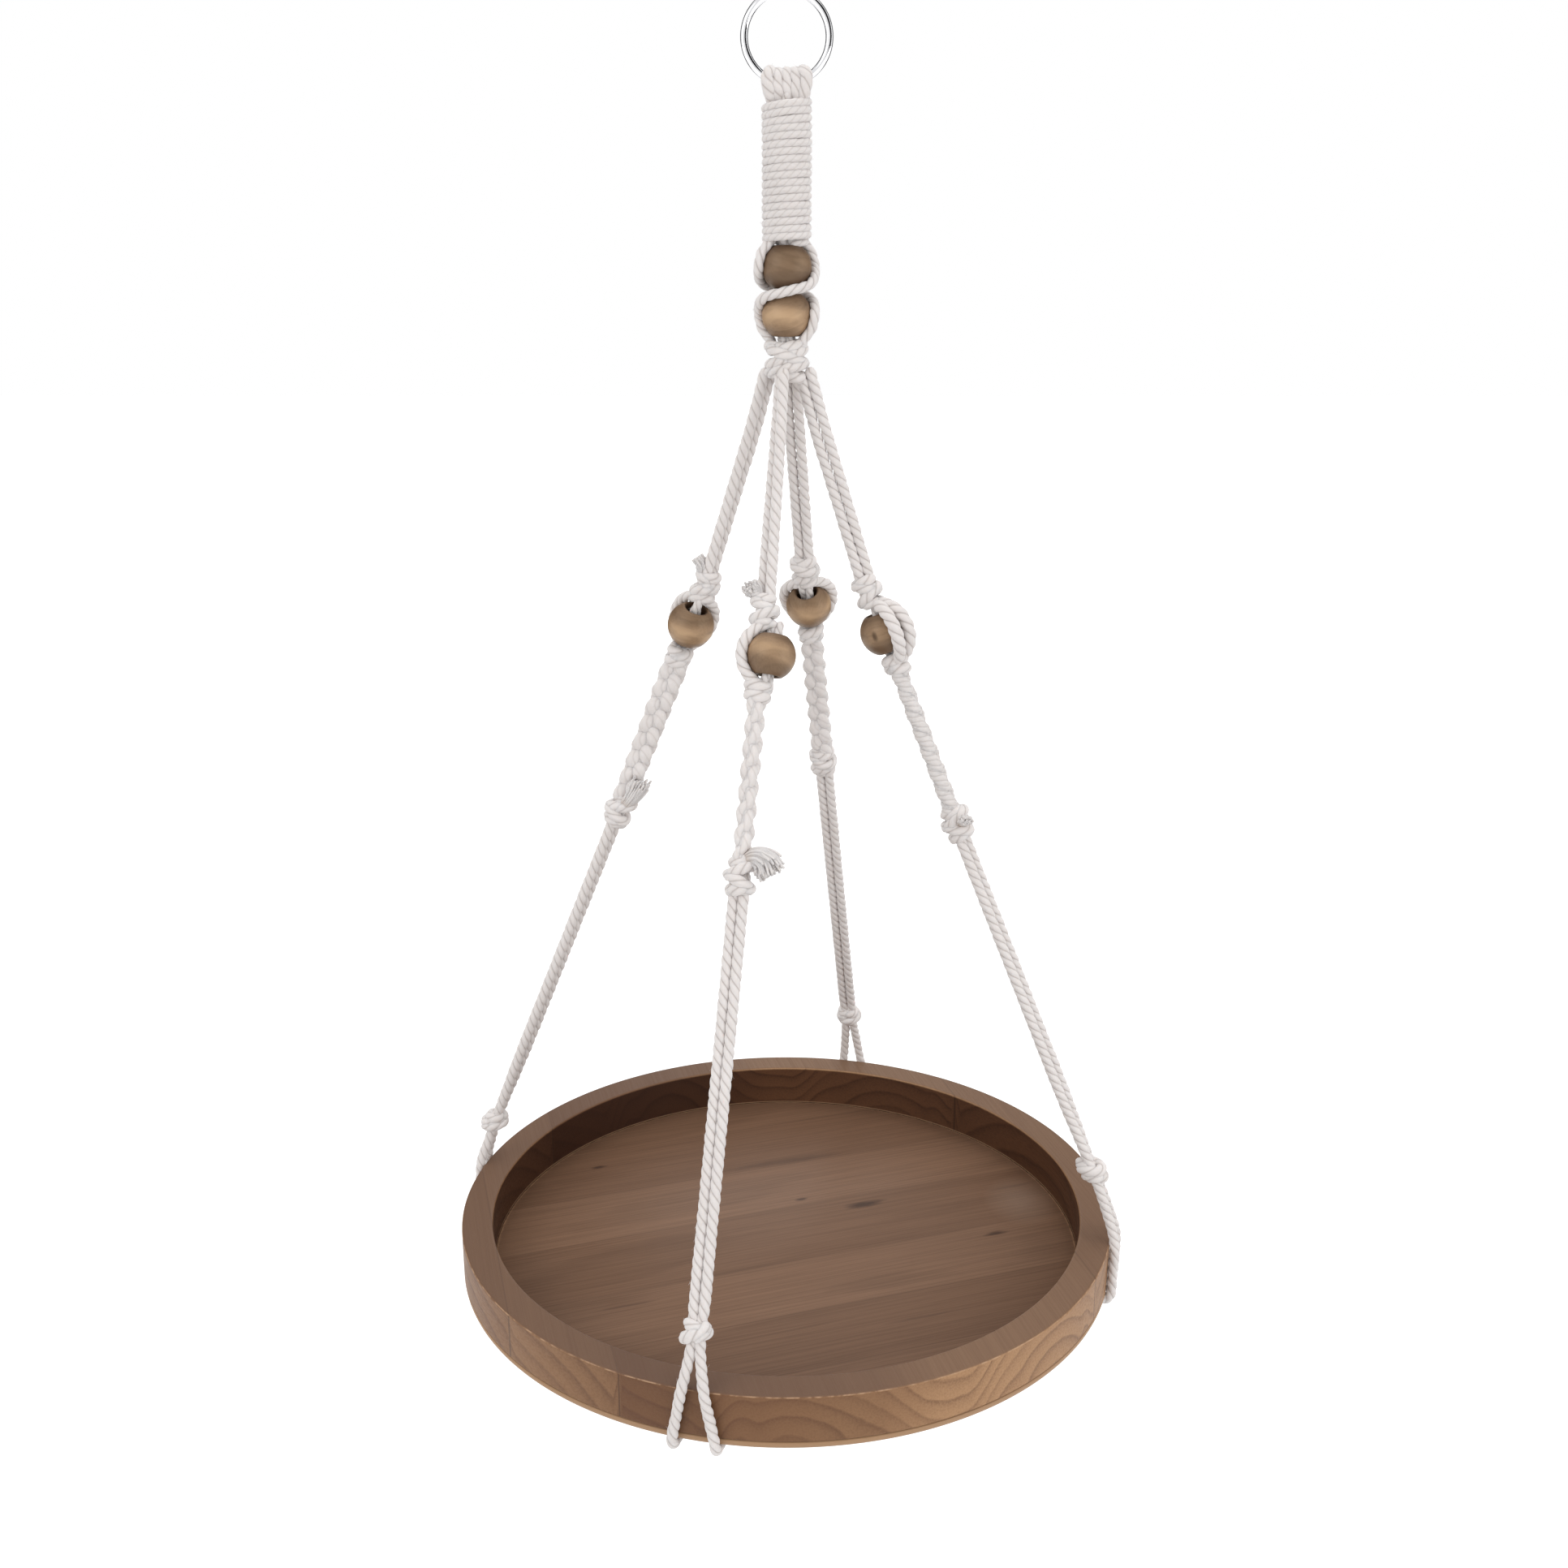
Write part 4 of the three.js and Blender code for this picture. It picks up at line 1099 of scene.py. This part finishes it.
def make_tail_knots():
    """The knots under the braids, with the frayed ends of three of them."""
    for seed, (name, leg) in enumerate(LEGS.items(), TAIL_SEED):
        shells = [knot(TAIL_KNOTS[name])]
        if name in TAILS:
            line, fan, flat = TAILS[name]
            shells.append(frayed_tail(line, fan, seed, flat))
        shell = moved(join(shells), leg_axes(leg), leg_place(leg, leg["tail"]))
        make_knotted(f"{name}_tail_knot", shell)


def make_lower_knots():
    """The knots just above the tray's rim."""
    for name, leg in LEGS.items():
        half = LOWER_KNOT_HALF / 2
        axes = leg_axes(leg, leg["lower"] + half, leg["lower"] - half)
        shell = moved(knot(LOWER_KNOTS[name], LOWER_RADIUS), axes, leg_place(leg, leg["lower"]))
        make_knotted(f"{name}_lower_knot", shell)


# Braids and their collars

BRAID_PERIOD = 26.4
BRAID_CORD = 2.35
BRAID_TO_KNOT = 7.0                        # from its foot to the tail knot's middle
BRAID_TUCK = 5.0                           # how far its strands run on into that knot
HOLD_ACROSS = 2.2                          # how long a strand stays out at the edges
HOLD_INWARD = 1.3                          # and at the front and the back
FILLING = 3.0                              # the cord that fills the braid, and its press
FILLING_PRESS = (0.72, 1.36)
COLLAR_CORD = 2.75
BRAIDS = {                                 # half spread at both ends, half depth, and cord
    "front": dict(top=2.2, foot=2.2, deep=1.6, press=(0.88, 1.2), ply=0.18, lay=CORD_LAY),
    "right": dict(top=2.2, foot=2.2, deep=0.5, press=(1.28, 1.2), ply=0.21, lay=6.5),
    "rear": dict(top=2.4, foot=2.3, deep=1.6, press=(0.88, 1.2), ply=0.18, lay=CORD_LAY),
    "left": dict(top=3.0, foot=2.2, deep=1.6, press=(0.9, 1.28), ply=0.18, lay=CORD_LAY),
}


def held(wave, hold):
    """A wave that stays longer near its highest and lowest values."""
    return np.tanh(hold * wave) / math.tanh(hold)


def braid_strand(length, phase, broad, top, foot, deep):
    """One strand of a three-strand braid: across it is a sine of the distance run down, and
    in depth a sine of twice that, so that the strands pass over the middle in turn. Both are
    held near their ends, which keeps the braid's edges almost straight."""
    down = np.linspace(0.0, length, 900)
    turn = 2 * np.pi * down / BRAID_PERIOD + phase
    narrow = np.clip(down / 5.0, 0.35, 1.0) * np.clip((length - down) / 4.0, 0.5, 1.0)
    across = np.linspace(top, foot, len(down)) * held(np.sin(turn), HOLD_ACROSS) * narrow
    inward = deep * held(np.sin(2 * turn), HOLD_INWARD)
    pair = (across, inward) if broad == "out" else (-inward, across)
    return even(np.column_stack([*pair, -down]))


def make_braids():
    """Three strands about a flat filling, with the collar knotted round their head. A strand's
    press is along the braid's depth and breadth."""
    for name, leg in LEGS.items():
        braid = BRAIDS[name]
        top = KNOT_TO_BEAD + BEAD_TO_COLLAR
        length = run_length(leg) - top - BRAID_TO_KNOT
        facing = (0.0, 1.0, 0.0) if leg["broad"] == "out" else (1.0, 0.0, 0.0)
        shells = []
        for k in range(3):
            path = braid_strand(
                length + BRAID_TUCK, 2 * np.pi * k / 3 + 0.4, leg["broad"], braid["top"],
                braid["foot"], braid["deep"])
            shells.append(cord(
                path, BRAID_CORD, braid["lay"], k, braid["press"], facing=facing, ply=braid["ply"],
            ))
        filling = even(np.array([(0.0, 0.0, -4.0), (0.0, 0.0, -length - 2.0)]))
        shells.append(cord(filling, FILLING, press=FILLING_PRESS, facing=facing, ply=0.06))
        shells.append(knot(COLLAR, COLLAR_CORD))
        shell = moved(join(shells), leg_axes(leg), leg_place(leg, leg["upper"], top))
        make_knotted(f"{name}_braid", shell)


# Cords at the beads

CORE_CORD = 1.75                           # the two cords through a leg's bead
CORE_SET = 1.55                            # how far each is set off from the bore's middle
CORE_LAY = 60.0                            # length of one turn about each other
TIED_ABOVE = 4.8                           # how far short of the upper knot's middle they end
BROAD_STRAND = 2.6                         # the right leg's strands, which are spread flat


def make_bead_cords():
    """Two cords through each leg's bead, laid round each other, and two strands beside it on
    arcs about its middle."""
    for name, leg in LEGS.items():
        axes, origin = bead_axes(leg), bead_place(leg)
        rise = np.linspace(-BEAD_TO_COLLAR - 1.0, KNOT_TO_BEAD - TIED_ABOVE, 80)
        around = 2 * np.pi * rise / CORE_LAY + 0.6
        pair = []
        for turn in (0.0, np.pi):
            x, y = CORE_SET * np.cos(around + turn), CORE_SET * np.sin(around + turn)
            pair.append(cord(even(points_of(x, y, rise)), CORE_CORD, start=turn))
        make_knotted(f"{name}_bead_core", moved(join(pair), axes, origin))
        radius = BROAD_STRAND if name == "right" else CORD_RADIUS
        angle = np.pi * np.linspace(0.10, 0.90, 60)
        arc = even(points_of(np.sin(angle), 0.0, np.cos(angle)) * (BEAD_RADIUS + radius + 0.1))
        for letter, bearing in zip("ab", leg["strands"]):
            path = turned(arc, bearing) @ axes.T + origin
            size = 1.0 + 0.1 * np.sin(np.pi * np.linspace(0.0, 1.0, len(path)))
            shell = cord(path, radius, start=bearing, size=size)
            make_knotted(f"{name}_bead_strand_{letter}", shell)


def make_crossing_cords():
    """A cord down one side of the upper neck bead, over the gap between the beads and down
    the other side of the lower one, in front, and the same turned half round behind. Beside a
    bead it runs on an arc about the bead's middle and lies a little behind it."""
    step = (UPPER_NECK_BEAD - LOWER_NECK_BEAD) / 2
    gap = (UPPER_NECK_BEAD + LOWER_NECK_BEAD) / 2
    hug = 11.9                             # from a bead's middle to the cord's
    crossing = math.sqrt(hug ** 2 - step ** 2) + 0.5
    behind = math.radians(20)

    def beside(middle, degrees, side):
        angle = math.radians(degrees)
        out = hug * math.cos(angle)
        return side * out * math.cos(behind), out * math.sin(behind), middle + hug * math.sin(angle)

    points = np.array([
        (5.2, 1.0, UPPER_NECK_BEAD + 11.4),
        *(beside(UPPER_NECK_BEAD, degrees, 1) for degrees in (52, 28, 2)),
        (9.6, -4.6, UPPER_NECK_BEAD - 6.4), (0.0, -crossing, gap),
        (-9.6, -4.6, LOWER_NECK_BEAD + 6.4),
        *(beside(LOWER_NECK_BEAD, degrees, -1) for degrees in (-2, -28, -52)),
        (-5.6, 1.0, LOWER_NECK_BEAD - 12.0),
    ])
    for name, turn, start in (("front", 0, 0.4), ("rear", 180, 1.4)):
        path = smooth(turned(points, turn))
        shell = cord(path, start=start, press=(1.12, 0.9), facing=(0.0, 1.0, 0.0))
        make_knotted(f"crossing_cord_{name}", shell)


# Neck

BUNDLE_CORDS = 7                           # six round one
BUNDLE_CORD = 2.0
BUNDLE_SET = (2.2, 2.2, 4.2, 4.2)          # how far they stand from the middle one, going up
BUNDLE_SIZE = (0.8, 0.8, 1.0, 1.0)         # and how thick they are there, as shares


def make_core_bundle():
    """Cords laid side by side in a ring about one in the middle, slim through the beads and
    wider inside the winding."""
    foot = GATHER_HEIGHT + 8.3
    heights = np.array([foot, WRAP_BOTTOM - 2.0, WRAP_BOTTOM + 2.0, WRAP_TOP])
    rise = np.linspace(foot, WRAP_TOP - 0.2, 90)
    size = np.interp(rise, heights, BUNDLE_SIZE)
    shells = []
    for k in range(BUNDLE_CORDS):
        ring = np.interp(rise, heights, BUNDLE_SET) * (k < BUNDLE_CORDS - 1)
        around = np.pi / 3 * k + rise / 34.0
        path = points_of(ring * np.cos(around), ring * np.sin(around), rise)
        shells.append(cord(path, BUNDLE_CORD, size=size, start=k, sides=12))
    make_knotted("core_bundle", join(shells))


LOOPS = (                                  # degrees along the wire from its lowest point, slack
    (-27.8, 0.0), (-13.9, 0.5), (0.3, 1.1), (14.3, 0.8), (28.2, 0.1),
)
LOOP_LEAN = 0.8                            # how far the loops lean with the wire
LOOP_PRESS = (1.06, 0.68)                  # along the wire and off it
LOOP_ROOM = 0.25                           # between the wire and the loops


def make_ring_loops():
    """Five loops over the wire, pressed side by side, each in a plane that leans part of the
    way with the wire: half an oval round the wire's middle, wider by the way that the wire
    swings there. Below, the legs draw together into the winding."""
    seat = RING_WIRE + LOOP_ROOM + CORD_RADIUS * LOOP_PRESS[1]
    angle = np.radians(np.linspace(-90, 90, 9))[:, None]
    for number, (turn, slack) in enumerate(LOOPS, 1):
        place = math.radians(turn)
        wire = np.array([math.sin(place), 0.0, -math.cos(place)]) * RING_RADIUS
        wire = wire + (0, 0, RING_CENTRE)
        toward = np.array([-math.sin(place * LOOP_LEAN), 0.0, math.cos(place * LOOP_LEAN)])
        edge = abs(place) + CORD_RADIUS * LOOP_PRESS[0] / RING_RADIUS
        reach = seat + RING_RADIUS * (1 - math.cos(edge)) * math.sin(SWING)
        over = (wire + (seat + slack) * np.cos(angle) * toward
                + np.sin(angle) * np.array([0.0, reach, 0.0]))
        front, back = (
            [
                (wire[0] * 0.62, sign * 2.4, WRAP_TOP - 4.0),
                (wire[0] * 0.78, sign * 3.9, WRAP_TOP - 1.0),
                (wire[0] * 0.90, sign * (reach * 0.5 + 2.6), WRAP_TOP + 1.6),
            ]
            for sign in (-1, 1)
        )
        path = smooth(np.vstack([front, over, back[::-1]]))
        shell = cord(path, start=turn, press=LOOP_PRESS, facing=(1.0, 0.0, 0.0), ply=0.28)
        make_knotted(f"ring_loop_{number}", shell)


def make_winding():
    """The cord wound round the neck: a helix whose height wavers a little and whose top turns
    tip up to the right, with both ends tucked in under the turns."""
    t = np.linspace(0.0, 1.0, 3200)
    bearing = 2 * np.pi * WRAP_TURNS * t - 0.9
    slope = np.interp(t, (0.0, 0.70, 1.0), (0.010, 0.015, 0.085))
    waves = ((0.08, 0.37, 0), (0.07, 1.31, 2), (0.06, 3.4, 1))     # height, rate and start
    waver = sum(high * np.sin(bearing * rate + start) for high, rate, start in waves)
    reach = WRAP_RADIUS * (1 - 0.45 * np.clip(1 - np.minimum(t, 1 - t) / 0.012, 0, 1))
    lift = WINDING_FOOT + 1.4 + (WRAP_TOP - WINDING_FOOT - 2.9) * t + waver
    x = reach * np.cos(bearing)
    path = np.column_stack([x, reach * np.sin(bearing), lift + slope * x])
    shell = cord(
        even(path, 0.75), WINDING_CORD, WINDING_LAY, sides=18, press=(0.97, 0.98), ply=0.19)
    make_knotted("gathering_wrap", shell)


RING_STEPS = 240
WIRE_SIDES = 28
WELD_AT = 118                              # degrees round the ring


def make_ring():
    """The wire ring: a circle carried round a circle, with a faint swelling at its weld."""
    around, wire = round_angles(RING_STEPS), round_angles(WIRE_SIDES)
    weld = np.exp(-((around - math.radians(WELD_AT)) / 0.025) ** 2) * 0.05
    reach = RING_WIRE * (1 + weld)[:, None]
    distance = RING_RADIUS + reach * np.cos(wire)[None, :]
    x, z = distance * np.cos(around)[:, None], distance * np.sin(around)[:, None]
    grid = points_of(x, reach * np.sin(wire)[None, :], z + RING_CENTRE)
    make_piece(
        "hanging_ring_wire", loop_shell(grid, {}), "ring_steel_polished", "ring",
        ["hanging_ring"])


# Turned pieces: beads and tray

def corner(centre, radius, first, last, count=7):
    """Points on a rounded edge of a profile, angles in degrees."""
    angle = np.radians(np.linspace(first, last, count))
    return np.column_stack([centre[0] + radius * np.cos(angle), centre[1] + radius * np.sin(angle)])


def round_about(profile, sides):
    """A profile of radius and height carried round the axis."""
    around = round_angles(sides)
    radius, height = profile[:, :1], profile[:, 1:]
    return points_of(radius * np.cos(around)[None, :], radius * np.sin(around)[None, :], height)


BEAD_SIDES = 96
HIGHLIGHT_BAND_WIDTH = 0.42                          # as a share of the bead's half length
HIGHLIGHT_BAND_WANDER = 0.22
MARK_SPREAD = (1.1, 1.1, 2.1)


def bead_shell(seed, tone, highlight_band_at, mark_at):
    """A turned bead about its own axis: a ball cut at both ends, rounded into a bore. A band of
    painted highlight goes round it, strongest at a height that wanders a little round it, and
    painted shade darkens its ends at the bore. A mark is a small dark knot that fades with the
    distance from its place."""
    edge = math.asin(BEAD_HALF / BEAD_RADIUS) - 0.035
    ball = np.linspace(-edge, edge, 40)
    outer = np.column_stack([BEAD_RADIUS * np.cos(ball), BEAD_RADIUS * np.sin(ball)])
    t = np.linspace(0.0, 1.0, 8)[1:, None]
    rim, inside = np.array([4.75, BEAD_HALF + 0.02]), np.array([BEAD_BORE, BEAD_HALF - 1.0])
    lip = (1 - t) ** 2 * outer[-1] + 2 * t * (1 - t) * rim + t ** 2 * inside
    bore = np.column_stack([
        np.full(10, BEAD_BORE), np.linspace(BEAD_HALF - 2.0, -BEAD_HALF + 2.0, 10),
    ])
    profile = np.vstack([outer, lip, bore, (lip * (1, -1))[::-1]])
    radius, height = profile[:, :1], profile[:, 1:]
    grid = round_about(profile, BEAD_SIDES)
    rng = np.random.default_rng(seed)
    tip = rng.uniform(-0.35, 0.35, 2)
    lean = np.array([[1, 0, tip[0]], [0, 1, tip[1]], [-tip[0], -tip[1], 1]])
    place = (grid @ lean.T) * METRES + rng.uniform(-0.02, 0.02, 3) * (1.0, 0.3, 0.3)
    # Painted shade on the ends round the bore.
    bore_shade_and_knot = np.broadcast_to(np.clip((5.6 - radius) / 1.1, 0, 1), grid.shape[:2])
    # Painted highlight: a band round the bead, at a height that wanders round it.
    wander = HIGHLIGHT_BAND_WANDER * np.sin(round_angles(BEAD_SIDES) + seed)[None, :]
    highlight_band = np.exp(-((height / BEAD_HALF - highlight_band_at - wander) / HIGHLIGHT_BAND_WIDTH) ** 2)
    # The dark knot goes into the same mark as the painted shade at the bore.
    if mark_at is not None:
        away = (grid - unit(np.array(mark_at)) * BEAD_RADIUS) / MARK_SPREAD
        bore_shade_and_knot = np.maximum(bore_shade_and_knot, 1.3 * np.exp(-np.sum(away ** 2, -1) ** 2))
    return loop_shell(grid, {
        "turned_place": place, "bead_tone": np.full(grid.shape[:2], tone), "bore_shade_and_knot": bore_shade_and_knot,
        "highlight_band": highlight_band,
    })


BEADS = {                                  # seed, tone, height of the painted highlight band, dark mark
    "upper_neck_bead": (3, 0.12, 0.05, None),
    "lower_neck_bead": (4, 0.95, -0.2, None),
    "front_bead": (21, 0.62, 0.1, None),
    "right_bead": (22, 0.5, 0.0, (-2.0, -9.7, 0.6)),
    "rear_bead": (23, 0.85, 0.05, None),
    "left_bead": (24, 0.95, -0.2, None),
}


def make_beads():
    """All six beads, each on the body of its own name."""
    places = {
        "upper_neck_bead": (UPRIGHT, np.array([0.0, 0.0, UPPER_NECK_BEAD])),
        "lower_neck_bead": (UPRIGHT, np.array([0.0, 0.0, LOWER_NECK_BEAD])),
        **{f"{name}_bead": (bead_axes(leg), bead_place(leg)) for name, leg in LEGS.items()},
    }
    for name, look in BEADS.items():
        shell = moved(bead_shell(*look), *places[name])
        make_piece(f"{name}_turned", shell, "bead_wood_turned", name, [name])


def make_tray():
    """The rim and the floor, each a profile carried round the shelf's axis."""
    inner = TRAY_RADIUS - RIM_WIDTH
    profile = np.vstack([
        [(inner, -RIM_HEIGHT), (TRAY_RADIUS - 0.4, -RIM_HEIGHT), (TRAY_RADIUS, -RIM_HEIGHT + 0.4)],
        [(TRAY_RADIUS, -RIM_HEIGHT + 0.8), (TRAY_RADIUS, -RIM_ROUND - 0.6)],
        corner((TRAY_RADIUS - RIM_ROUND, -RIM_ROUND), RIM_ROUND, 0, 90),
        [(TRAY_RADIUS - RIM_ROUND - 0.6, 0.0), (inner + RIM_ROUND + 0.6, 0.0)],
        corner((inner + RIM_ROUND, -RIM_ROUND), RIM_ROUND, 90, 180),
        [(inner, -RIM_ROUND - 0.6), (inner, -RIM_HEIGHT + 0.5)],
    ])
    shell = loop_shell(round_about(profile, TRAY_SIDES), {})
    make_piece("tray_rim_boards", shell, "rim_wood_stained", "hanger", ["tray_rim"])

    field, middle = inner - 0.3, 4.0
    profile = np.vstack([
        [(middle, -FLOOR_BOTTOM), (TRAY_RADIUS - FLOOR_ROUND - 1.0, -FLOOR_BOTTOM)],
        corner((TRAY_RADIUS - FLOOR_ROUND, -FLOOR_BOTTOM + FLOOR_ROUND), FLOOR_ROUND, -90, 0),
        [(TRAY_RADIUS, -FLOOR_SEAT - 0.4), (TRAY_RADIUS - 0.3, -FLOOR_SEAT)],
        [(field, -FLOOR_SEAT), (field, -RIM_HEIGHT - 0.1), (field - 0.2, -RIM_HEIGHT)],
        [(middle, -RIM_HEIGHT)],
    ])
    shell = capped(round_about(profile, TRAY_SIDES), {})
    make_piece(
        "tray_floor_planks", shell, "floor_wood_stained", "hanger", ["tray_floor"])


# Loose fibres on the cords

FIBRES = 9000                              # in each of the three pieces
FIBRE_RADIUS = 0.05
FIBRE_DRAWS = (                            # length, then lean, turn and rise as shares of it
    (0.6, 1.9), (-1.0, 1.0), (-0.7, 0.7), (0.2, 0.75),
)
WIRE_ROOM = 7.0                            # about the wire's middle line, free of fibres


def make_fuzz(number):
    """Thin curved fibres on the cords: each rises from the skin along its normal, bends over
    along the cord and turns a little to one side, as a quadratic of the share along it. None
    grow where the ring's wire swings past."""
    rng = np.random.default_rng(number)
    places = np.concatenate(skins)
    from_ring = places[:, :3] - (0.0, 0.0, RING_CENTRE)
    off_wire = from_ring - unit(from_ring * (1, 0, 1)) * RING_RADIUS
    outer = np.sum(unit(off_wire) * places[:, 3:6], 1) > 0.5
    places = places[outer | (np.linalg.norm(off_wire, axis=1) > WIRE_ROOM)]
    chosen = places[rng.choice(len(places), FIBRES, replace=False)]
    root, outward, along = chosen[:, :3], chosen[:, 3:6], chosen[:, 6:9]
    sideways = np.cross(outward, along)
    length, lean, turn, rise = (
        rng.uniform(low, high, (FIBRES, 1, 1)) for low, high in FIBRE_DRAWS
    )
    t = np.linspace(0.0, 1.0, 4)[None, :, None]
    path = (root[:, None] - 0.15 * outward[:, None]
            + length * (rise * t * (1.4 - 0.6 * t) * outward[:, None] + lean * t * along[:, None]
                        + turn * t ** 2 * sideways[:, None]))
    angle = round_angles(3)[None, None, :, None]
    ring = np.cos(angle) * sideways[:, None, None] + np.sin(angle) * outward[:, None, None]
    grid = path[:, :, None] + (FIBRE_RADIUS * (1.0 - 0.7 * t))[..., None] * ring
    rows, sides = grid.shape[1:3]
    offset = (np.arange(FIBRES) * rows * sides)[:, None, None]
    last = (rows - 1) * sides
    ends = np.array([[0, 2, 1], [last, last + 1, last + 2]])
    count = FIBRES * rows * sides
    shell = dict(
        points=grid.reshape(-1, 3), quads=(grid_faces(rows, sides)[None] + offset).reshape(-1, 4),
        tris=(ends[None] + offset).reshape(-1, 3), skin=NO_SKIN,
        marks={"thread": np.zeros((count, 3)), "groove": np.zeros(count), "stain": np.zeros(count)},
    )
    make_piece(f"loose_fibres_{number}", shell, "cotton_undyed", "hanger")


make_sling()
make_upper_cords()
make_crossing_cords()
make_bead_cords()
make_ring_loops()
make_gather_knot()
make_upper_knots()
make_tail_knots()
make_lower_knots()
make_braids()
make_core_bundle()
make_winding()
make_ring()
make_beads()
make_tray()
for number in (1, 2, 3):
    make_fuzz(number)


# Studio: pale floor, soft lamps, white background. Places and sizes in metres.

WHITE = (1.0, 1.0, 1.0, 1.0)
FLOOR_HEIGHT = -0.95
FLOOR_REACH = 12.0
SHELF_MIDDLE = (0.0, 0.0, -0.35)
RING_PLACE = (0.0, 0.0, 0.0)
LAMPS = (                                  # name, place, size, power
    ("lamp_left", (-1.5, -1.3, 0.5), (1.4, 1.4), 13.0),
    ("lamp_right", (1.6, -1.1, 0.1), (1.2, 1.4), 12.0),
    ("lamp_above", (0.1, 0.3, 1.4), (1.6, 1.6), 10.0),
)
CARDS = (                                  # name, place, half size
    ("card_left", (-0.85, 0.9, 0.2), (0.7, 1.0)),
    ("card_right", (0.85, 0.9, 0.2), (0.7, 1.0)),
    ("card_above", (0.0, 0.45, 1.0), (0.8, 0.35)),
    ("card_front", (0.82, -0.86, 0.48), (0.65, 0.65)),
)


def in_sight(tree):
    """1 for what the camera sees, straight, in reflections or through glass, and else 0."""
    rays = put(tree, "LightPath").outputs
    return larger(larger(rays["Is Camera Ray"], rays["Is Glossy Ray"]), rays["Is Transmission Ray"])


def card_material(name, scale, low, high, plain):
    """Matt card with a faint change of tone."""
    tree, shader = new_material(name)
    shade = blend(noise(object_place(tree), scale), rgb(*low), rgb(*high))
    set_inputs(shader, {"Base Color": shade, "Roughness": 0.9, **plain})
    return tree, shader


def sheet(name, half, height, material):
    """A flat rectangle of the stage."""
    mesh = bpy.data.meshes.new(name)
    x, y = half
    corners = [(-x, -y, height), (x, -y, height), (x, y, height), (-x, y, height)]
    mesh.from_pydata(corners, [], [(0, 1, 2, 3)])
    mesh.materials.append(bpy.data.materials[material])
    thing = new_object(name, mesh)
    return thing


def studio_floor():
    """A wide pale floor: lit as matt card, and shown white to the camera and in reflections
    with the shelf's shadow kept."""
    tree, shader = card_material(
        "studio_card", 3.0, (232, 232, 232), (236, 236, 236),
        {"Specular IOR Level": 0.0, "Emission Color": WHITE})
    far = spread(vector_of("LENGTH", object_place(tree)), 1.6, 3.2, 0.52, 0.9)
    set_inputs(shader, {"Emission Strength": times(in_sight(tree), far)})
    sheet("studio_floor", (FLOOR_REACH, FLOOR_REACH), FLOOR_HEIGHT, "studio_card")


def face_point(thing, place, aim):
    """Puts a lamp or card at a place, with its face towards a point."""
    away = np.array(place) - np.array(aim)
    flat = math.hypot(away[0], away[1])
    thing.location = place
    thing.rotation_euler = (math.atan2(flat, away[2]), 0.0, math.atan2(away[0], -away[1]))


def studio_lights():
    """Large soft lamps that face the shelf, and dark cards that show in reflections only and
    draw the dark lines on the ring."""
    for name, place, size, power in LAMPS:
        data = bpy.data.lights.new(name, "AREA")
        data.shape = "RECTANGLE"
        data.size, data.size_y = size
        data.energy = power
        face_point(new_object(name, data), place, SHELF_MIDDLE)
    card_material("card_black", 4.0, (14, 14, 15), (24, 24, 25), {})
    for name, place, half in CARDS:
        card = sheet(name, half, 0.0, "card_black")
        face_point(card, place, RING_PLACE)
        for sight in ("camera", "diffuse", "transmission", "volume_scatter", "shadow"):
            setattr(card, f"visible_{sight}", False)


def studio_world():
    """A pale world that lights evenly and is white where it is seen."""
    world = bpy.data.worlds.new("studio_world")
    bpy.context.scene.world = world
    world.use_nodes = True
    tree = world.node_tree
    tree.nodes.clear()
    light, white = (
        put(tree, "Background", {0: WHITE, 1: strength}).outputs[0] for strength in (0.7, 1.0)
    )
    mixed = put(tree, "MixShader", {0: in_sight(tree), 1: light, 2: white}).outputs[0]
    put(tree, "OutputWorld", {0: mixed})


studio_floor()
studio_lights()
studio_world()
bpy.context.scene.view_settings.view_transform = "Standard"
